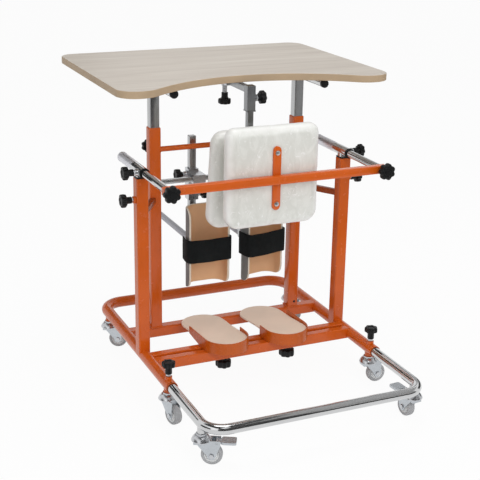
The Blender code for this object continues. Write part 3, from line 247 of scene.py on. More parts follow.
def vinyl():
    """Cream vinyl under loose clear film: soft shading, film creases with painted shade in them, painted
    white glints and a pale gathered border.
    """
    made = Finish("cream_vinyl", "cream_vinyl")
    soft = made.ramp(made.grain(7, 4), (0.3, (0.720, 0.724, 0.680)), (0.7, (0.820, 0.826, 0.785)))
    # Painted shade: the colour darker along the film's creases
    crease_shade = made.ramp(made.grain(38, 4, 0.6, (1, 1, 0.45), 1.5),
                     (0.40, (0.91, 0.91, 0.90)), (0.62, (1.0, 1.0, 1.0)))
    # Painted highlights: white glints of the film laid into the colour
    painted_glint = made.ramp(made.grain(46, 4, 0.66, (1.2, 1, 0.8), 2.6),
                      (0.585, (0.0, 0.0, 0.0)), (0.690, (0.85, 0.85, 0.85)))
    # The film's colour: painted white glints over the vinyl and its painted crease shade
    film = made.blend(painted_glint, made.blend(1.0, soft, crease_shade, "MULTIPLY"), (0.94, 0.94, 0.93))
    made.colour(made.blend(made.border(), film, (0.92, 0.92, 0.90)))
    made.roughness(made.span(made.grain(50, 3), 0.40, 0.55))
    made.relief(made.grain(700, 2), 0.08, 0.0004)
    made.relief(made.grain(42, 4, 0.62, (1, 1, 0.5), 1.8), 0.55, 0.004, "Coat Normal")
    made.set(Coat_Weight=0.6, Coat_Roughness=0.06)
    return made


def webbing():
    """Close black weave: ribs along the strap, crossed by a finer thread."""
    made = Finish("black_webbing", "black_webbing")
    made.colour(made.ramp(made.grain(26, 4),
                          (0.3, (0.0045, 0.0058, 0.0062)), (0.7, (0.0090, 0.0110, 0.0118))))
    ribs = made.node("ShaderNodeTexWave", wave_type="BANDS", bands_direction="Z",
                     Scale=105, Distortion=0.6, Detail_Scale=6)
    made.links.new(made.place((1, 1, 1)), ribs.inputs["Vector"])
    made.roughness(made.span(made.grain(120, 3), 0.66, 0.82))
    made.relief(made.blend(0.5, ribs.outputs["Color"], made.grain(900, 2)), 0.30, 0.0006)
    made.set(Specular_IOR_Level=0.16)
    return made


LAMINATE = laminate()
VINYL = vinyl()
WEBBING = webbing()


# Making pieces

def settle(name, bm, finishes, body, stands_for=(), angle=38):
    """Makes a piece of what has been drawn, gives it its finishes and hangs it on its body."""
    mesh = bpy.data.meshes.new(name)
    bmesh.ops.recalc_face_normals(bm, faces=bm.faces)
    bm.to_mesh(mesh)
    bm.free()
    for finish in finishes:
        mesh.materials.append(finish.material)
    obj = bpy.data.objects.new(name, mesh)
    bpy.context.scene.collection.objects.link(obj)
    mesh.shade_smooth()
    mesh.set_sharp_from_angle(angle=math.radians(angle))
    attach(obj, body)
    if stands_for:
        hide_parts(*stands_for)
    return obj


def drawn(name, bm, finishes, body, stands_for=(), angle=38):
    """Settles a piece that was drawn about the footprint's own origin."""
    bmesh.ops.translate(bm, verts=bm.verts, vec=SHIFT)
    return settle(name, bm, finishes, body, stands_for, angle)


def modify(obj, kind, **settings):
    """Adds a modifier with its settings."""
    made = obj.modifiers.new(kind.lower(), kind)
    for key, value in settings.items():
        setattr(made, key, value)
    return made


def bake(obj):
    """Applies an object's modifiers to its mesh."""
    bpy.context.view_layer.update()
    shape = obj.evaluated_get(bpy.context.evaluated_depsgraph_get())
    mesh = bpy.data.meshes.new_from_object(shape)
    obj.modifiers.clear()
    obj.data = mesh


def refined(node, finish, width, segments=2):
    """A copy of a solid with its edges rounded, standing in for it."""
    sharp = 40
    bm = bmesh.new()
    bm.from_mesh(NODES[node].data)
    bmesh.ops.remove_doubles(bm, verts=bm.verts, dist=0.00002)
    bmesh.ops.dissolve_limit(bm, angle_limit=math.radians(1), verts=bm.verts, edges=bm.edges)
    obj = settle(node + "_finished", bm, [finish], BODY_OF[node], [node], sharp)
    modify(obj, "BEVEL", limit_method="ANGLE", angle_limit=math.radians(sharp), width=width,
           segments=segments, use_clamp_overlap=True, harden_normals=True)
    bake(obj)


# Shapes

def along(way, place):
    """A matrix that turns the Z axis to a way and takes the origin to a place."""
    return Matrix.Translation(place) @ Vector(way).to_track_quat("Z", "Y").to_matrix().to_4x4()


def skin(bm, rings, finish=0):
    """Faces between each closed ring of points and the next."""
    for lower, upper in zip(rings, rings[1:]):
        for step in range(len(lower)):
            face = bm.faces.new((lower[step - 1], lower[step], upper[step], upper[step - 1]))
            face.material_index = finish


def net(bm, grid):
    """Faces between the columns of an open grid of points."""
    for left, right in zip(grid, grid[1:]):
        for row in range(len(left) - 1):
            bm.faces.new((left[row], right[row], right[row + 1], left[row + 1]))


def absorb(bm, part, finish=0):
    """Adds one shape to another, with a finish number for its faces."""
    for face in part.faces:
        face.material_index = finish
    mesh = bpy.data.meshes.new("shape")
    bmesh.ops.recalc_face_normals(part, faces=part.faces)
    part.to_mesh(mesh)
    part.free()
    bm.from_mesh(mesh)
    bpy.data.meshes.remove(mesh)


def block(bm, size, matrix, radius, finish=0, segments=3):
    """A box with rounded edges, drawn about the origin and put in place by a matrix."""
    part = bmesh.new()
    bmesh.ops.create_cube(part, size=1)
    bmesh.ops.scale(part, vec=size, verts=part.verts)
    bmesh.ops.bevel(part, geom=part.edges[:], offset=radius, segments=segments, affect="EDGES", profile=0.5)
    bmesh.ops.transform(part, matrix=matrix, verts=part.verts)
    absorb(bm, part, finish)


def slab(bm, low, high, radius, segments=3):
    """A box between two corners, with rounded edges."""
    low, high = Vector(low), Vector(high)
    block(bm, high - low, Matrix.Translation((low + high) / 2), radius, segments=segments)


def post(bm, x, y, size, low, high, radius):
    """An upright square bar with rounded edges."""
    half = size / 2
    slab(bm, (x - half, y - half, low), (x + half, y + half, high), radius)


def bar(bm, start, end, size, radius, finish=0):
    """A square bar with rounded edges along any level line."""
    start, end = Vector(start), Vector(end)
    run = end - start
    block(bm, Vector((size, size, run.length)), along(run, (start + end) / 2), radius, finish)


def rounded(points, radius, steps):
    """A polyline whose inner corners are arcs."""
    points = [Vector(p) for p in points]
    path = [points[0]]
    for before, corner, after in zip(points, points[1:], points[2:]):
        into, out = (before - corner).normalized(), (after - corner).normalized()
        half = into.angle(out) / 2
        centre = corner + (into + out).normalized() * radius / math.sin(half)
        first = (corner + into * radius / math.tan(half) - centre).normalized()
        last = (corner + out * radius / math.tan(half) - centre).normalized()
        path += [centre + first.slerp(last, step / steps) * radius for step in range(steps + 1)]
    path.append(points[-1])
    return path


def finely(path, step=0.004):
    """The same path with its long stretches divided."""
    fine = []
    for start, end in zip(path, path[1:]):
        pieces = max(1, round((end - start).length / step))
        fine += [start.lerp(end, share / pieces) for share in range(pieces)]
    return fine + [path[-1]]


def tube(bm, path, radius, sides=32, finish=0, loop=False, capped=True):
    """A round tube along a path."""
    path = [Vector(p) for p in path]
    count = len(path)
    side = None
    rings = []
    for index, point in enumerate(path):
        before = path[index - 1] if index or loop else point
        after = path[(index + 1) % count] if index < count - 1 or loop else point
        ahead = (after - before).normalized()
        if side is None:
            side = ahead.orthogonal().normalized()
        side = (side - ahead * side.dot(ahead)).normalized()
        up = ahead.cross(side)
        circle = []
        for step in range(sides):
            angle = 2 * math.pi * step / sides
            circle.append(bm.verts.new(point + (side * math.cos(angle) + up * math.sin(angle)) * radius))
        rings.append(circle)
    skin(bm, rings + rings[:1] if loop else rings, finish)
    if capped and not loop:
        for end in (rings[0], rings[-1]):
            bm.faces.new(end).material_index = finish


def turned(bm, profile, place, axis, sides=40, finish=0, wave=None):
    """A turned shape: profile points are (radius, height along the axis, share of the wave)."""
    matrix = along(axis, place)
    rings = []
    for radius, height, *share in profile:
        if radius < 1e-6:
            # One point on the axis serves as every corner of its ring
            rings.append([bm.verts.new(matrix @ Vector((0, 0, height)))] * sides)
            continue
        circle = []
        for step in range(sides):
            angle = 2 * math.pi * step / sides
            reach = radius * (1 - share[0] * wave(angle)) if share else radius
            spot = Vector((reach * math.cos(angle), reach * math.sin(angle), height))
            circle.append(bm.verts.new(matrix @ spot))
        rings.append(circle)
    for lower, upper in zip(rings, rings[1:]):
        for step in range(sides):
            corners = []
            for vert in (lower[step - 1], lower[step], upper[step], upper[step - 1]):
                if vert not in corners:
                    corners.append(vert)
            if len(corners) > 2:
                bm.faces.new(corners).material_index = finish


def ring(bm, inner, outer, low, high, place, axis, finish=0, edge=0.0005, sides=40):
    """A collar round an axis, with softened rims."""
    turned(bm, [(inner, low), (outer - edge, low), (outer, low + edge), (outer, high - edge),
                (outer - edge, high), (inner, high), (inner, low)], place, axis, sides, finish)


def boss(bm, place, axis, low, high):
    """A round seat for a knob's stud, with a softened rim."""
    radius, edge = 0.009, 0.0005
    turned(bm, [(radius, low), (radius, high - edge), (radius - edge, high), (0, high)], place, axis)


# Frame

# How far the bars and the short posts sink into the rail
WELD_DEPTH = 0.0002

# The lower end of a caster's socket, as (radius, height)
CASTER_SOCKET = [(0, 0.0723), (0.0094, 0.0723), (0.0100, 0.0729)]


def u_path(open_end, closed_end, bend, steps):
    """The middle line of a level U in the rails' plane."""
    corners = [(-RAIL_X, open_end), (-RAIL_X, closed_end), (RAIL_X, closed_end), (RAIL_X, open_end)]
    return rounded([(x, y, RAIL_Z) for x, y in corners], bend, steps)


def frame_section(width, depth, radius):
    """A closed rounded rectangle about the origin, with points every few millimetres."""
    half, reach = width / 2, depth / 2
    start = Vector((0, -reach, 0))
    corners = [(half, -reach, 0), (half, reach, 0), (-half, reach, 0), (-half, -reach, 0)]
    return finely(rounded([start, *corners, start], radius, 4), 0.002)[:-1]


def rail_side(offset):
    """How far a weld at an offset across the rail stands from its axis."""
    return math.sqrt(max(0, (RAIL_RADIUS - WELD_DEPTH) ** 2 - offset ** 2))


def cross_bar(bm, low, high, radius):
    """A level bar between the rails, its ends shaped to their round sides."""
    depth = 0.028
    middle = (low + high) / 2
    section = frame_section(high - low, depth, radius)
    ends = []
    for _, sign in SIDES:
        spots = [(sign * (RAIL_X - rail_side(p.y)), middle + p.x, RAIL_Z + p.y) for p in section]
        ends.append([bm.verts.new(spot) for spot in spots])
    skin(bm, ends)


def rail_post(bm, x, y, size, high, radius):
    """A square post with a softened top, its foot shaped to the rail that it stands on."""
    section = frame_section(size, size, radius)
    rows = [[bm.verts.new((x + p.x, y + p.y, RAIL_Z + rail_side(p.x))) for p in section]]
    for inset, fall in ((0, 0.0020), (0.0006, 0.0006), (0.0020, 0)):
        shrink = 1 - 2 * inset / size
        rows.append([bm.verts.new((x + p.x * shrink, y + p.y * shrink, high - fall)) for p in section])
    skin(bm, rows)
    bm.faces.new(rows[-1])


def weld_bead(bm, x, y, z):
    """An uneven bead round a tall post's foot."""
    corner, steps, swing = 0.0152, 12, 0.0005
    ways = ((-1, -1), (1, -1), (1, 1), (-1, 1))
    foot = [Vector((x + across * corner, y + back * corner, z)) for across, back in ways]
    bead = []
    for index, start in enumerate(foot):
        end = foot[(index + 1) % len(foot)]
        for step in range(steps):
            lift = swing * math.sin(9.1 * (index * steps + step))
            bead.append(start.lerp(end, step / steps) + Z * lift)
    tube(bm, bead, 0.0020, 10, loop=True)


def steelwork():
    """Rails, bars and posts in orange, braces darker as painted shade, the steel knee bar, black rings and
    caps, and a black disc of painted shade for a hole.
    """
    bm = bmesh.new()
    tube(bm, u_path(RAIL_MOUTH_Y, 0.4, 0.055, 14), RAIL_RADIUS, 40, capped=False)
    for low, high, radius in ((0.156, 0.184, 0.003), (-0.040, -0.018, 0.0025), (-0.006, 0.016, 0.0025)):
        cross_bar(bm, low, high, radius)
    brace_z = 0.470
    for _, sign in SIDES:
        x, tall, out = sign * RAIL_X, sign * TALL_X, X * sign
        socket = CASTER_SOCKET + [(0.0100, 0.0880), (0.0115, 0.0905), (0.0115, RAIL_Z)]
        for row in ("middle", "rear"):
            turned(bm, socket, (x, STEM_Y[row], 0), Z)
        boss(bm, (x, -0.144, 0), Z, 0.1125, 0.121)
        post(bm, tall, TALL_Y, POST_SIZE, 0.1143, 0.660, 0.0030)
        rail_post(bm, x, SHORT_Y, POST_SIZE, 0.568, 0.0030)
        # The braces take finish one, the darker orange that is painted shade
        bar(bm, (tall, TALL_Y, brace_z), (x, SHORT_Y, brace_z), 0.015, 0.0015, 1)
        boss(bm, (tall, TALL_Y, 0.600), Y, 0, 0.021)
        boss(bm, (x, SHORT_Y, ARM_KNOB_Z), out, 0, 0.021)
        ring(bm, 0.0130, 0.0150, -0.0002, 0.0040, (x, RAIL_MOUTH_Y, RAIL_Z), Y)
        weld_bead(bm, tall, TALL_Y, 0.1148)
        ring(bm, 0.0068, 0.0088, -0.0165, -0.0140, (tall, CROSS_TUBE_Y, CROSS_TUBE_Z), out, sides=28)
    tube(bm, [(sign * TALL_X, CROSS_TUBE_Y, CROSS_TUBE_Z) for _, sign in SIDES], 0.007, 28)
    drawn("frame_steelwork", bm, [ORANGE, SHADED_ORANGE], "frame", ["base_frame", "upper_frame"])

    bm = bmesh.new()
    bar(bm, (-TALL_X, TALL_Y, KNEE_BAR_Z), (TALL_X, TALL_Y, KNEE_BAR_Z), 0.012, 0.0010)
    drawn("knee_bar", bm, [STEEL], "frame")

    bm = bmesh.new()
    for _, sign in SIDES:
        x = sign * RAIL_X
        ring(bm, 0.0124, 0.0133, -0.0006, 0.0020, (x, RAIL_MOUTH_Y, RAIL_Z), Y, edge=0.0002)
        post(bm, x, SHORT_Y, 0.0285, 0.5675, 0.5716, 0.0014)
    # A black disc low on the front of the right tall post: painted shade that stands for a dark hole
    turned(bm, [(0.0035, 0), (0.0029, 0.0006), (0, 0.0006)], (0.2060, 0.1550, 0.1290), -Y, 32)
    drawn("frame_black_rings_and_hole_shade", bm, [BLACK], "frame")


def extension():
    """The chrome U with its caster sockets."""
    bm = bmesh.new()
    tube(bm, u_path(-0.010, -0.405, 0.050, 18), 0.0124, 48)
    for _, sign in SIDES:
        turned(bm, CASTER_SOCKET + [(0.0100, RAIL_Z)], (sign * RAIL_X, STEM_Y["front"], 0), Z)
    drawn("extension_tube", bm, [CHROME], "extension", ["base_extension"])


# Table

def table_outline():
    """The board's edge: round far corners, ears at the near side and a shallow cut-out between them."""
    half, near, far = 0.357, -0.055, 0.492
    near_corner, far_corner = 0.048, 0.040
    depth, reach, ear = 0.110, 0.280, 0.070
    radius = (reach ** 2 + depth ** 2) / (2 * depth)
    centre = near + depth - radius
    ear_y = near + ear
    ear_x = math.sqrt((radius + ear) ** 2 - (ear_y - centre) ** 2)
    lean = math.atan2(ear_x, ear_y - centre)
    quarter = math.pi / 2
    right = []

    def arc(x, y, size, start, end, steps):
        for step in range(steps + 1):
            angle = start + (end - start) * step / steps
            right.append(Vector((x + size * math.cos(angle), y + size * math.sin(angle))))

    arc(0, centre, radius, quarter, quarter - lean, 28)
    right.pop()
    arc(ear_x, ear_y, ear, 3 * quarter - lean, 3 * quarter, 14)
    arc(half - near_corner, near + near_corner, near_corner, -quarter, 0, 16)
    arc(half - far_corner, far - far_corner, far_corner, 0, quarter, 16)
    return right + [Vector((-p.x, p.y)) for p in reversed(right[1:])]


def board():
    """The laminate board with its softened edge band."""
    outline = table_outline()
    count = len(outline)
    inward = []
    for index in range(count):
        run = outline[(index + 1) % count] - outline[index - 1]
        inward.append(Vector((-run.y, run.x)).normalized())
    edge = ((0.0016, 0.782), (0.0004, 0.7824), (0, 0.7836), (0, 0.7982), (0.0005, 0.7994), (0.0016, 0.8))
    bm = bmesh.new()
    rings = [[bm.verts.new((p.x + n.x * inset, p.y + n.y * inset, z)) for p, n in zip(outline, inward)]
             for inset, z in edge]
    skin(bm, rings[:-1], 1)
    skin(bm, rings[-2:], 0)
    bm.faces.new(rings[0])
    bm.faces.new(rings[-1])
    drawn("table_board", bm, [LAMINATE, BAND], "table", ["table_top"], 15)


def table():
    """The board, the steel columns and the capped chrome tubes under the board."""
    board()
    cap = [(0.0102, -0.007), (0.0105, -0.0065), (0.0105, 0.0006), (0.0094, 0.0024), (0.0060, 0.0035),
           (0, 0.0038)]
    near, far = 0.018, 0.420
    for side, sign in SIDES:
        x = sign * TALL_X
        bm = bmesh.new()
        post(bm, x, TALL_Y, COLUMN_SIZE, 0.400, TABLE_TUBE_Z, 0.0022)
        tube(bm, [(x, near, TABLE_TUBE_Z), (x, far, TABLE_TUBE_Z)], 0.010, 36, 2)
        for y, way in ((near, -Y), (far, Y)):
            turned(bm, cap, (x, y, TABLE_TUBE_Z), way, 36, 1)
        drawn(side + "_column", bm, [STEEL, BLACK, CHROME], "table", [side + "_table_column"])


# Star knobs

def star(angle):
    """Notches between the seven lobes, narrower than the lobes."""
    return ((1 + math.cos(7 * angle)) / 2) ** 1.6


def star_knob(node, axis, head, thick, hub, rise, stand=0.003):
    """A lobed hand knob with a dished cap, a stepped hub and a zinc spacer, on the node's own axis."""
    low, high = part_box(node)
    axis = Vector(axis)
    top = max(low.dot(axis), high.dot(axis))
    centre = (low + high) / 2
    seat = centre + axis * (top - rise - thick - centre.dot(axis))
    head, hub = head / 2, hub / 2
    cap = rise + thick
    edge = thick * 0.28
    bm = bmesh.new()
    turned(bm, [(0, 0), (hub * 0.80, 0), (hub * 0.80, stand + 0.0002)], seat, axis, 6, 1)
    stem = [(0, stand, 0), (hub * 0.90, stand, 0), (hub, stand + 0.0008, 0), (hub, rise * 0.82, 0),
            (hub * 1.12, rise, 0)]
    lobes = [(head * 0.80, rise, 0.10), (head * 0.965, rise + edge * 0.35, 0.17), (head, rise + edge, 0.17),
             (head, cap - edge, 0.17), (head * 0.975, cap - edge * 0.5, 0.17),
             (head * 0.91, cap - edge * 0.13, 0.165), (head * 0.82, cap, 0.13)]
    dish = [(head * 0.52, cap, 0), (head * 0.49, cap - 0.0004, 0), (head * 0.46, cap - 0.0016, 0),
            (head * 0.20, cap - 0.0013, 0), (0, cap - 0.0011, 0)]
    turned(bm, stem + lobes + dish, seat, axis, 84, 0, star)
    settle(node + "_star", bm, [BLACK, ZINC], BODY_OF[node], [node], 30)


def knobs():
    """Two sizes of knob, each on its own stud. The rise is from the seat to the head."""
    small = {"head": 0.034, "thick": 0.014, "hub": 0.017}
    large = {"head": 0.042, "hub": 0.022}
    for side, sign in SIDES:
        out = X * sign
        star_knob(side + "_base_knob", Z, **small, rise=0.024, stand=0.006)
        star_knob(side + "_table_knob", Y, **small, rise=0.017)
        star_knob(side + "_arm_height_knob", out, **small, rise=0.017)
        star_knob(side + "_arm_depth_knob", out, **small, rise=0.017)
        star_knob(side + "_hip_knob", -Y, **large, thick=0.017, rise=0.010)
        star_knob(side + "_knee_outer_knob", out, **small, rise=0.009)
        star_knob(side + "_knee_inner_knob", -out, **small, rise=0.009)
        star_knob(side + "_foot_knob", -Z, **large, thick=0.019, rise=0.013)
    star_knob("chest_depth_knob", -Z, **small, rise=0.034, stand=0.018)
    star_knob("chest_height_knob", X, **small, rise=0.009)


# Arms, hip support and chest support

def arms():
    """Sleeves on stems, satin behind and chrome in front, with the tubes that slide in them."""
    back, change, mouth = 0.186, 0.085, 0.014
    sleeve = 0.013
    cap = [(0.0131, -0.006), (0.0134, -0.0055), (0.0134, 0.0004), (0.012, 0.0020), (0, 0.0026)]
    for side, sign in SIDES:
        x, out = sign * RAIL_X, X * sign
        bm = bmesh.new()
        tube(bm, [(x, back, ARM_Z), (x, change, ARM_Z)], sleeve, 40, 1, capped=False)
        tube(bm, [(x, change, ARM_Z), (x, mouth, ARM_Z)], sleeve, 40, capped=False)
        post(bm, x, SHORT_Y, COLUMN_SIZE, 0.338, 0.583, 0.0022)
        boss(bm, (x, 0.034, ARM_Z), out, 0.004, 0.019)
        turned(bm, cap, (x, back, ARM_Z), Y, 36, 1)
        ring(bm, 0.0099, 0.0132, -0.0018, 0.0030, (x, mouth, ARM_Z), Y, 2)
        drawn(side + "_arm", bm, [CHROME, SATIN, BLACK], "arms", [side + "_arm_sleeve"])
        bm = bmesh.new()
        tube(bm, [(x, 0.158, ARM_Z), (x, -0.1357, ARM_Z)], 0.0098, 36)
        drawn(side + "_arm_slide", bm, [CHROME], "hip", [side + "_arm_tube"])


def hip():
    """The orange bar with the pad's round-ended plate and its two screws."""
    bm = bmesh.new()
    slab(bm, (-0.292, -0.156, 0.575), (0.292, -0.136, 0.595), 0.0022)
    half, end, front, back = 0.0685, 0.010, -0.1366, -0.1311
    arc = [math.pi * step / 12 for step in range(13)]
    outline = [(end * math.cos(angle), half + end * math.sin(angle)) for angle in arc]
    outline += [(-x, -z) for x, z in outline]
    part = bmesh.new()
    rings = [[part.verts.new((x, y, ARM_Z + z)) for x, z in outline] for y in (front, back)]
    skin(part, rings)
    faces = [part.faces.new(edge) for edge in rings]
    rims = [edge for face in faces for edge in face.edges]
    bmesh.ops.bevel(part, geom=rims, offset=0.0008, segments=2, affect="EDGES", profile=0.5)
    absorb(bm, part)
    screw = [(0.0062, 0), (0.0062, 0.0008), (0.0055, 0.0026), (0.0030, 0.0038), (0, 0.0042)]
    for height in (-0.0630, 0.0630):
        turned(bm, screw, (0, front, ARM_Z + height), -Y, 28, 1)
    drawn("hip_support_bar", bm, [ORANGE, ZINC], "hip", ["hip_bar"])


def chest():
    """The bracket, the slide and the pad's bar, with a lip round the slide's sleeve."""
    refined("chest_bracket", ZINC, 0.0010)
    refined("chest_slide_bar", DULL, 0.0010)
    refined("chest_pad_bar", DULL, 0.0010)
    half, near, far, wall = 0.0118, 0.0172, 0.0408, 0.0014
    low, high = 0.7146, 0.7176
    bm = bmesh.new()
    for x0, x1, y0, y1 in ((-half, half, near, near + wall), (-half, half, far - wall, far),
                           (-half, wall - half, near, far), (half - wall, half, near, far)):
        slab(bm, (x0, y0, low), (x1, y1, high), 0.0005, 2)
    drawn("chest_sleeve_lip", bm, [DULL], "chest_slide")


# Knee supports

def on_tube(x, yaw):
    """Where a cup sits: against its tube's end, turned on it."""
    turn = math.radians(yaw)
    forward = abs(math.sin(turn)) * 0.009
    return (Matrix.Translation((x, KNEE_TUBE_Y - forward, 0)) @ Matrix.Rotation(turn, 4, "Z")
            @ Matrix.Translation((0, -KNEE_TUBE_Y, 0)))


def cup(side, place):
    """A moulded trough: grey outside, tan lining, pale rim and rounded free edges."""
    half, back, front, low, high, corner = 0.054, 0.140, 0.087, 0.239, 0.4545, 0.028
    corners = [(-half, front, 0), (-half, back, 0), (half, back, 0), (half, front, 0)]
    path = finely(rounded(corners, 0.034, 12))
    rows = 30
    bm = bmesh.new()
    grid = []
    for spot in path:
        near = max(0, corner - (spot.y - front))
        cutback = corner - math.sqrt(max(0, corner ** 2 - near ** 2))
        bottom, top = low + cutback, high - cutback
        heights = [bottom + (top - bottom) * row / rows for row in range(rows + 1)]
        grid.append([bm.verts.new(place @ Vector((spot.x, spot.y, height))) for height in heights])
    net(bm, grid)
    obj = drawn(side + "_cup", bm, [SHELL, LINER, EDGE], side + "_knee", [side + "_knee_cup"], 60)
    modify(obj, "SOLIDIFY", thickness=0.0058, offset=0, use_even_offset=True, material_offset=1,
           material_offset_rim=2)
    modify(obj, "BEVEL", limit_method="ANGLE", angle_limit=math.radians(50), width=0.0020, segments=3)
    bake(obj)


def strap(side, place, bulge):
    """Broad webbing across a cup's open front, drawn round its sides, standing off a little on the left."""
    half, front, end = 0.0594, 0.0752, 0.125
    corners = [(-half, end, 0), (-half, front, 0), (half, front, 0), (half, end, 0)]
    path = finely(rounded(corners, 0.012, 8))
    lengths = [0.0]
    for start, stop in zip(path, path[1:]):
        lengths.append(lengths[-1] + (stop - start).length)
    total = lengths[-1]
    low, width, rows, hems = 0.314, 0.062, 16, 0.004
    cup_front = 0.087
    bm = bmesh.new()
    grid = []
    for spot, run in zip(path, lengths):
        share = run / total
        swell = bulge * math.exp(-((share - 0.14) / 0.10) ** 2)
        sag = 0.0008 * math.sin(math.pi * share) + 0.0005 * math.sin(17 * share)
        out = Vector((spot.x, min(0, spot.y - cup_front) * 3, 0)).normalized()
        column = []
        for row in range(rows + 1):
            height = row / rows
            ripple = 0.0003 * noise.noise(Vector((share * 9, height * 2.2, half * 40)))
            at = spot + out * (swell + ripple)
            column.append(bm.verts.new(place @ Vector((at.x, at.y, low + width * height - sag))))
        grid.append(column)
    net(bm, grid)
    obj = drawn(side + "_strap", bm, [WEBBING], side + "_knee", [side + "_knee_strap"], 60)
    modify(obj, "SOLIDIFY", thickness=0.0024, offset=0)
    modify(obj, "BEVEL", limit_method="ANGLE", angle_limit=math.radians(50), width=0.0008, segments=2)
    bake(obj)


def knees():
    """Clamps, uprights with their level tubes and end plates, cups and straps."""
    run = KNEE_TUBE_END - KNEE_TUBE_Y
    level = [(0.0080, 0), (0.0084, 0.0060), (0.0084, run - 0.0020), (0.0076, run - 0.0004), (0, run)]
    plate = [(0, 0), (0.0120, 0.0004), (0.0130, 0.0012), (0.0130, 0.0045), (0.0115, 0.0056),
             (0.0080, 0.0060)]
    for side, x, yaw, bulge in (("left", -0.080, 0, 0.003), ("right", 0.0685, 12, 0.001)):
        refined(side + "_knee_clamp", ZINC, 0.0010)
        bm = bmesh.new()
        post(bm, x, 0.2158, 0.018, 0.318, 0.618, 0.0016)
        seat = (x, KNEE_TUBE_Y, KNEE_TUBE_Z)
        turned(bm, level, seat, Y, 32, 1)
        turned(bm, plate, seat, Y, 28, 1)
        drawn(side + "_knee_upright", bm, [STEEL, PLAIN], side + "_knee", [side + "_knee_post"])
        place = on_tube(x, yaw)
        cup(side, place)
        strap(side, place, bulge)


# Feet and casters

def feet():
    """Heel trays and their soles."""
    for side, _ in SIDES:
        # The heel trays take the darker orange, which is painted shade
        refined(side + "_heel_cup", SHADED_TRAY_ORANGE, 0.0009)
        refined(side + "_sole", SOLE, 0.0018, 3)


def mirrored(half):
    """A profile and its mirror image, with a point in the middle kept once."""
    first = [(radius, -height) for radius, height in half]
    return first + [(radius, height) for radius, height in reversed(half) if height]


TYRE_PROFILE = mirrored([(0.0158, 0.0072), (0.0172, 0.0090), (0.0196, 0.0099), (0.0220, 0.0096),
                         (0.0240, 0.0078), (0.0249, 0.0050), (0.0250, 0.0016), (0.0247, 0)])
RIM_PROFILE = mirrored([(0.0043, 0.0099), (0.0078, 0.0099), (0.0085, 0.0092), (0.0088, 0.0066),
                        (0.0132, 0.0064), (0.0140, 0.0080), (0.0164, 0.0088), (0.0172, 0.0080)])


def wheel(node, fork):
    """Grey tyre with a grooved tread, pale rim, recessed web and bearing cap, between two axle nuts."""
    low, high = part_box(node)
    centre = (low + high) / 2
    span = [vert.co - centre for vert in NODES[node].data.vertices]
    angles = [math.pi * step / 360 for step in range(360)]
    ways = [Vector((math.cos(angle), math.sin(angle), 0)) for angle in angles]
    axis = min(ways, key=lambda way: max(abs(spot.dot(way)) for spot in span))
    bm = bmesh.new()
    turned(bm, TYRE_PROFILE, centre, axis, 64, 0)
    turned(bm, RIM_PROFILE, centre, axis, 64, 1)
    settle(node + "_turned", bm, [TYRE, RIM], BODY_OF[node], [node], 50)
    nut = [(0.0062, 0.0134), (0.0062, 0.0156), (0.0054, 0.0163), (0, 0.0166)]
    bm = bmesh.new()
    for way in (-1, 1):
        turned(bm, nut, centre, axis * way, 6)
    settle(fork + "_axle_nuts", bm, [ZINC], BODY_OF[fork])


def casters():
    """Six forks with domed heads, their wheels, and the front two's brake pedals."""
    dome = [(0.0200, 0.0588), (0.0231, 0.0590), (0.0234, 0.0600), (0.0230, 0.0614), (0.0212, 0.0648),
            (0.0186, 0.0686), (0.0160, 0.0712), (0.0150, 0.0721), (0.0102, 0.0724)]
    for row, y in STEM_Y.items():
        for side, sign in SIDES:
            name = row + "_" + side
            fork = name + "_caster_fork"
            refined(fork, FORK, 0.0006)
            stem = (sign * RAIL_X, y, 0)
            bm = bmesh.new()
            turned(bm, dome, stem, Z, 48)
            ring(bm, 0.0101, 0.0128, 0.0716, 0.0768, stem, Z)
            drawn(fork + "_head", bm, [ZINC], BODY_OF[fork])
            wheel(name + "_wheel", fork)
            if row == "front":
                refined(name + "_brake_pedal", FORK, 0.0008)


# Pads

# The board inside a pad holds the cover's outline, so the cover moves mostly towards its two faces
BOARD_HOLD = Vector((0.03, 1, 0.03))

# The cover's edge, from face to face: how far it draws in, and where, as a share of half the thickness
COVER_EDGE = ((0.018, -1.0), (0.010, -0.97), (0.004, -0.84), (0.001, -0.55), (0, -0.2),
              (0, 0.2), (0.001, 0.55), (0.004, 0.84), (0.010, 0.97), (0.018, 1.0))

# The curve of a pad's two lower corners
LOWER_CURVE = 0.034


def cover_outline(half, taper, upper_curve, inset):
    """A pad's front outline, drawn in by an inset, narrower above by a taper at each side."""
    steps = 12
    outline = []
    for turn, (way, up) in enumerate(((1, 1), (-1, 1), (-1, -1), (1, -1))):
        curve, side = (upper_curve, half.x - taper) if up > 0 else (LOWER_CURVE, half.x)
        centre = Vector((way * (side - curve), 0, up * (half.z - curve)))
        for step in range(steps + 1):
            angle = math.pi / 2 * (turn + step / steps)
            outline.append(centre + Vector((math.cos(angle), 0, math.sin(angle))) * (curve - inset))
    return outline


def inflate(obj, most):
    """Blows a closed cover up as cloth, with a cap on how far a point may move."""
    rest = [vert.co.copy() for vert in obj.data.vertices]
    cloth = modify(obj, "CLOTH")
    cloth.settings.quality = 5
    cloth.settings.use_pressure = True
    cloth.settings.uniform_pressure_force = 4
    cloth.settings.effector_weights.gravity = 0
    scene = bpy.context.scene
    for step in range(1, 21):
        scene.frame_set(step)
    bake(obj)
    scene.frame_set(1)
    for vert, start in zip(obj.data.vertices, rest):
        move = (vert.co - start) * BOARD_HOLD
        vert.co = start + move * min(1, most / max(move.length, 1e-6))


def fit(obj, low, high):
    """Stretches a piece to fill a box."""
    for axis in (0, 1, 2):
        spots = [vert.co[axis] for vert in obj.data.vertices]
        least, grow = min(spots), (high[axis] - low[axis]) / (max(spots) - min(spots))
        for vert in obj.data.vertices:
            vert.co[axis] = low[axis] + (vert.co[axis] - least) * grow


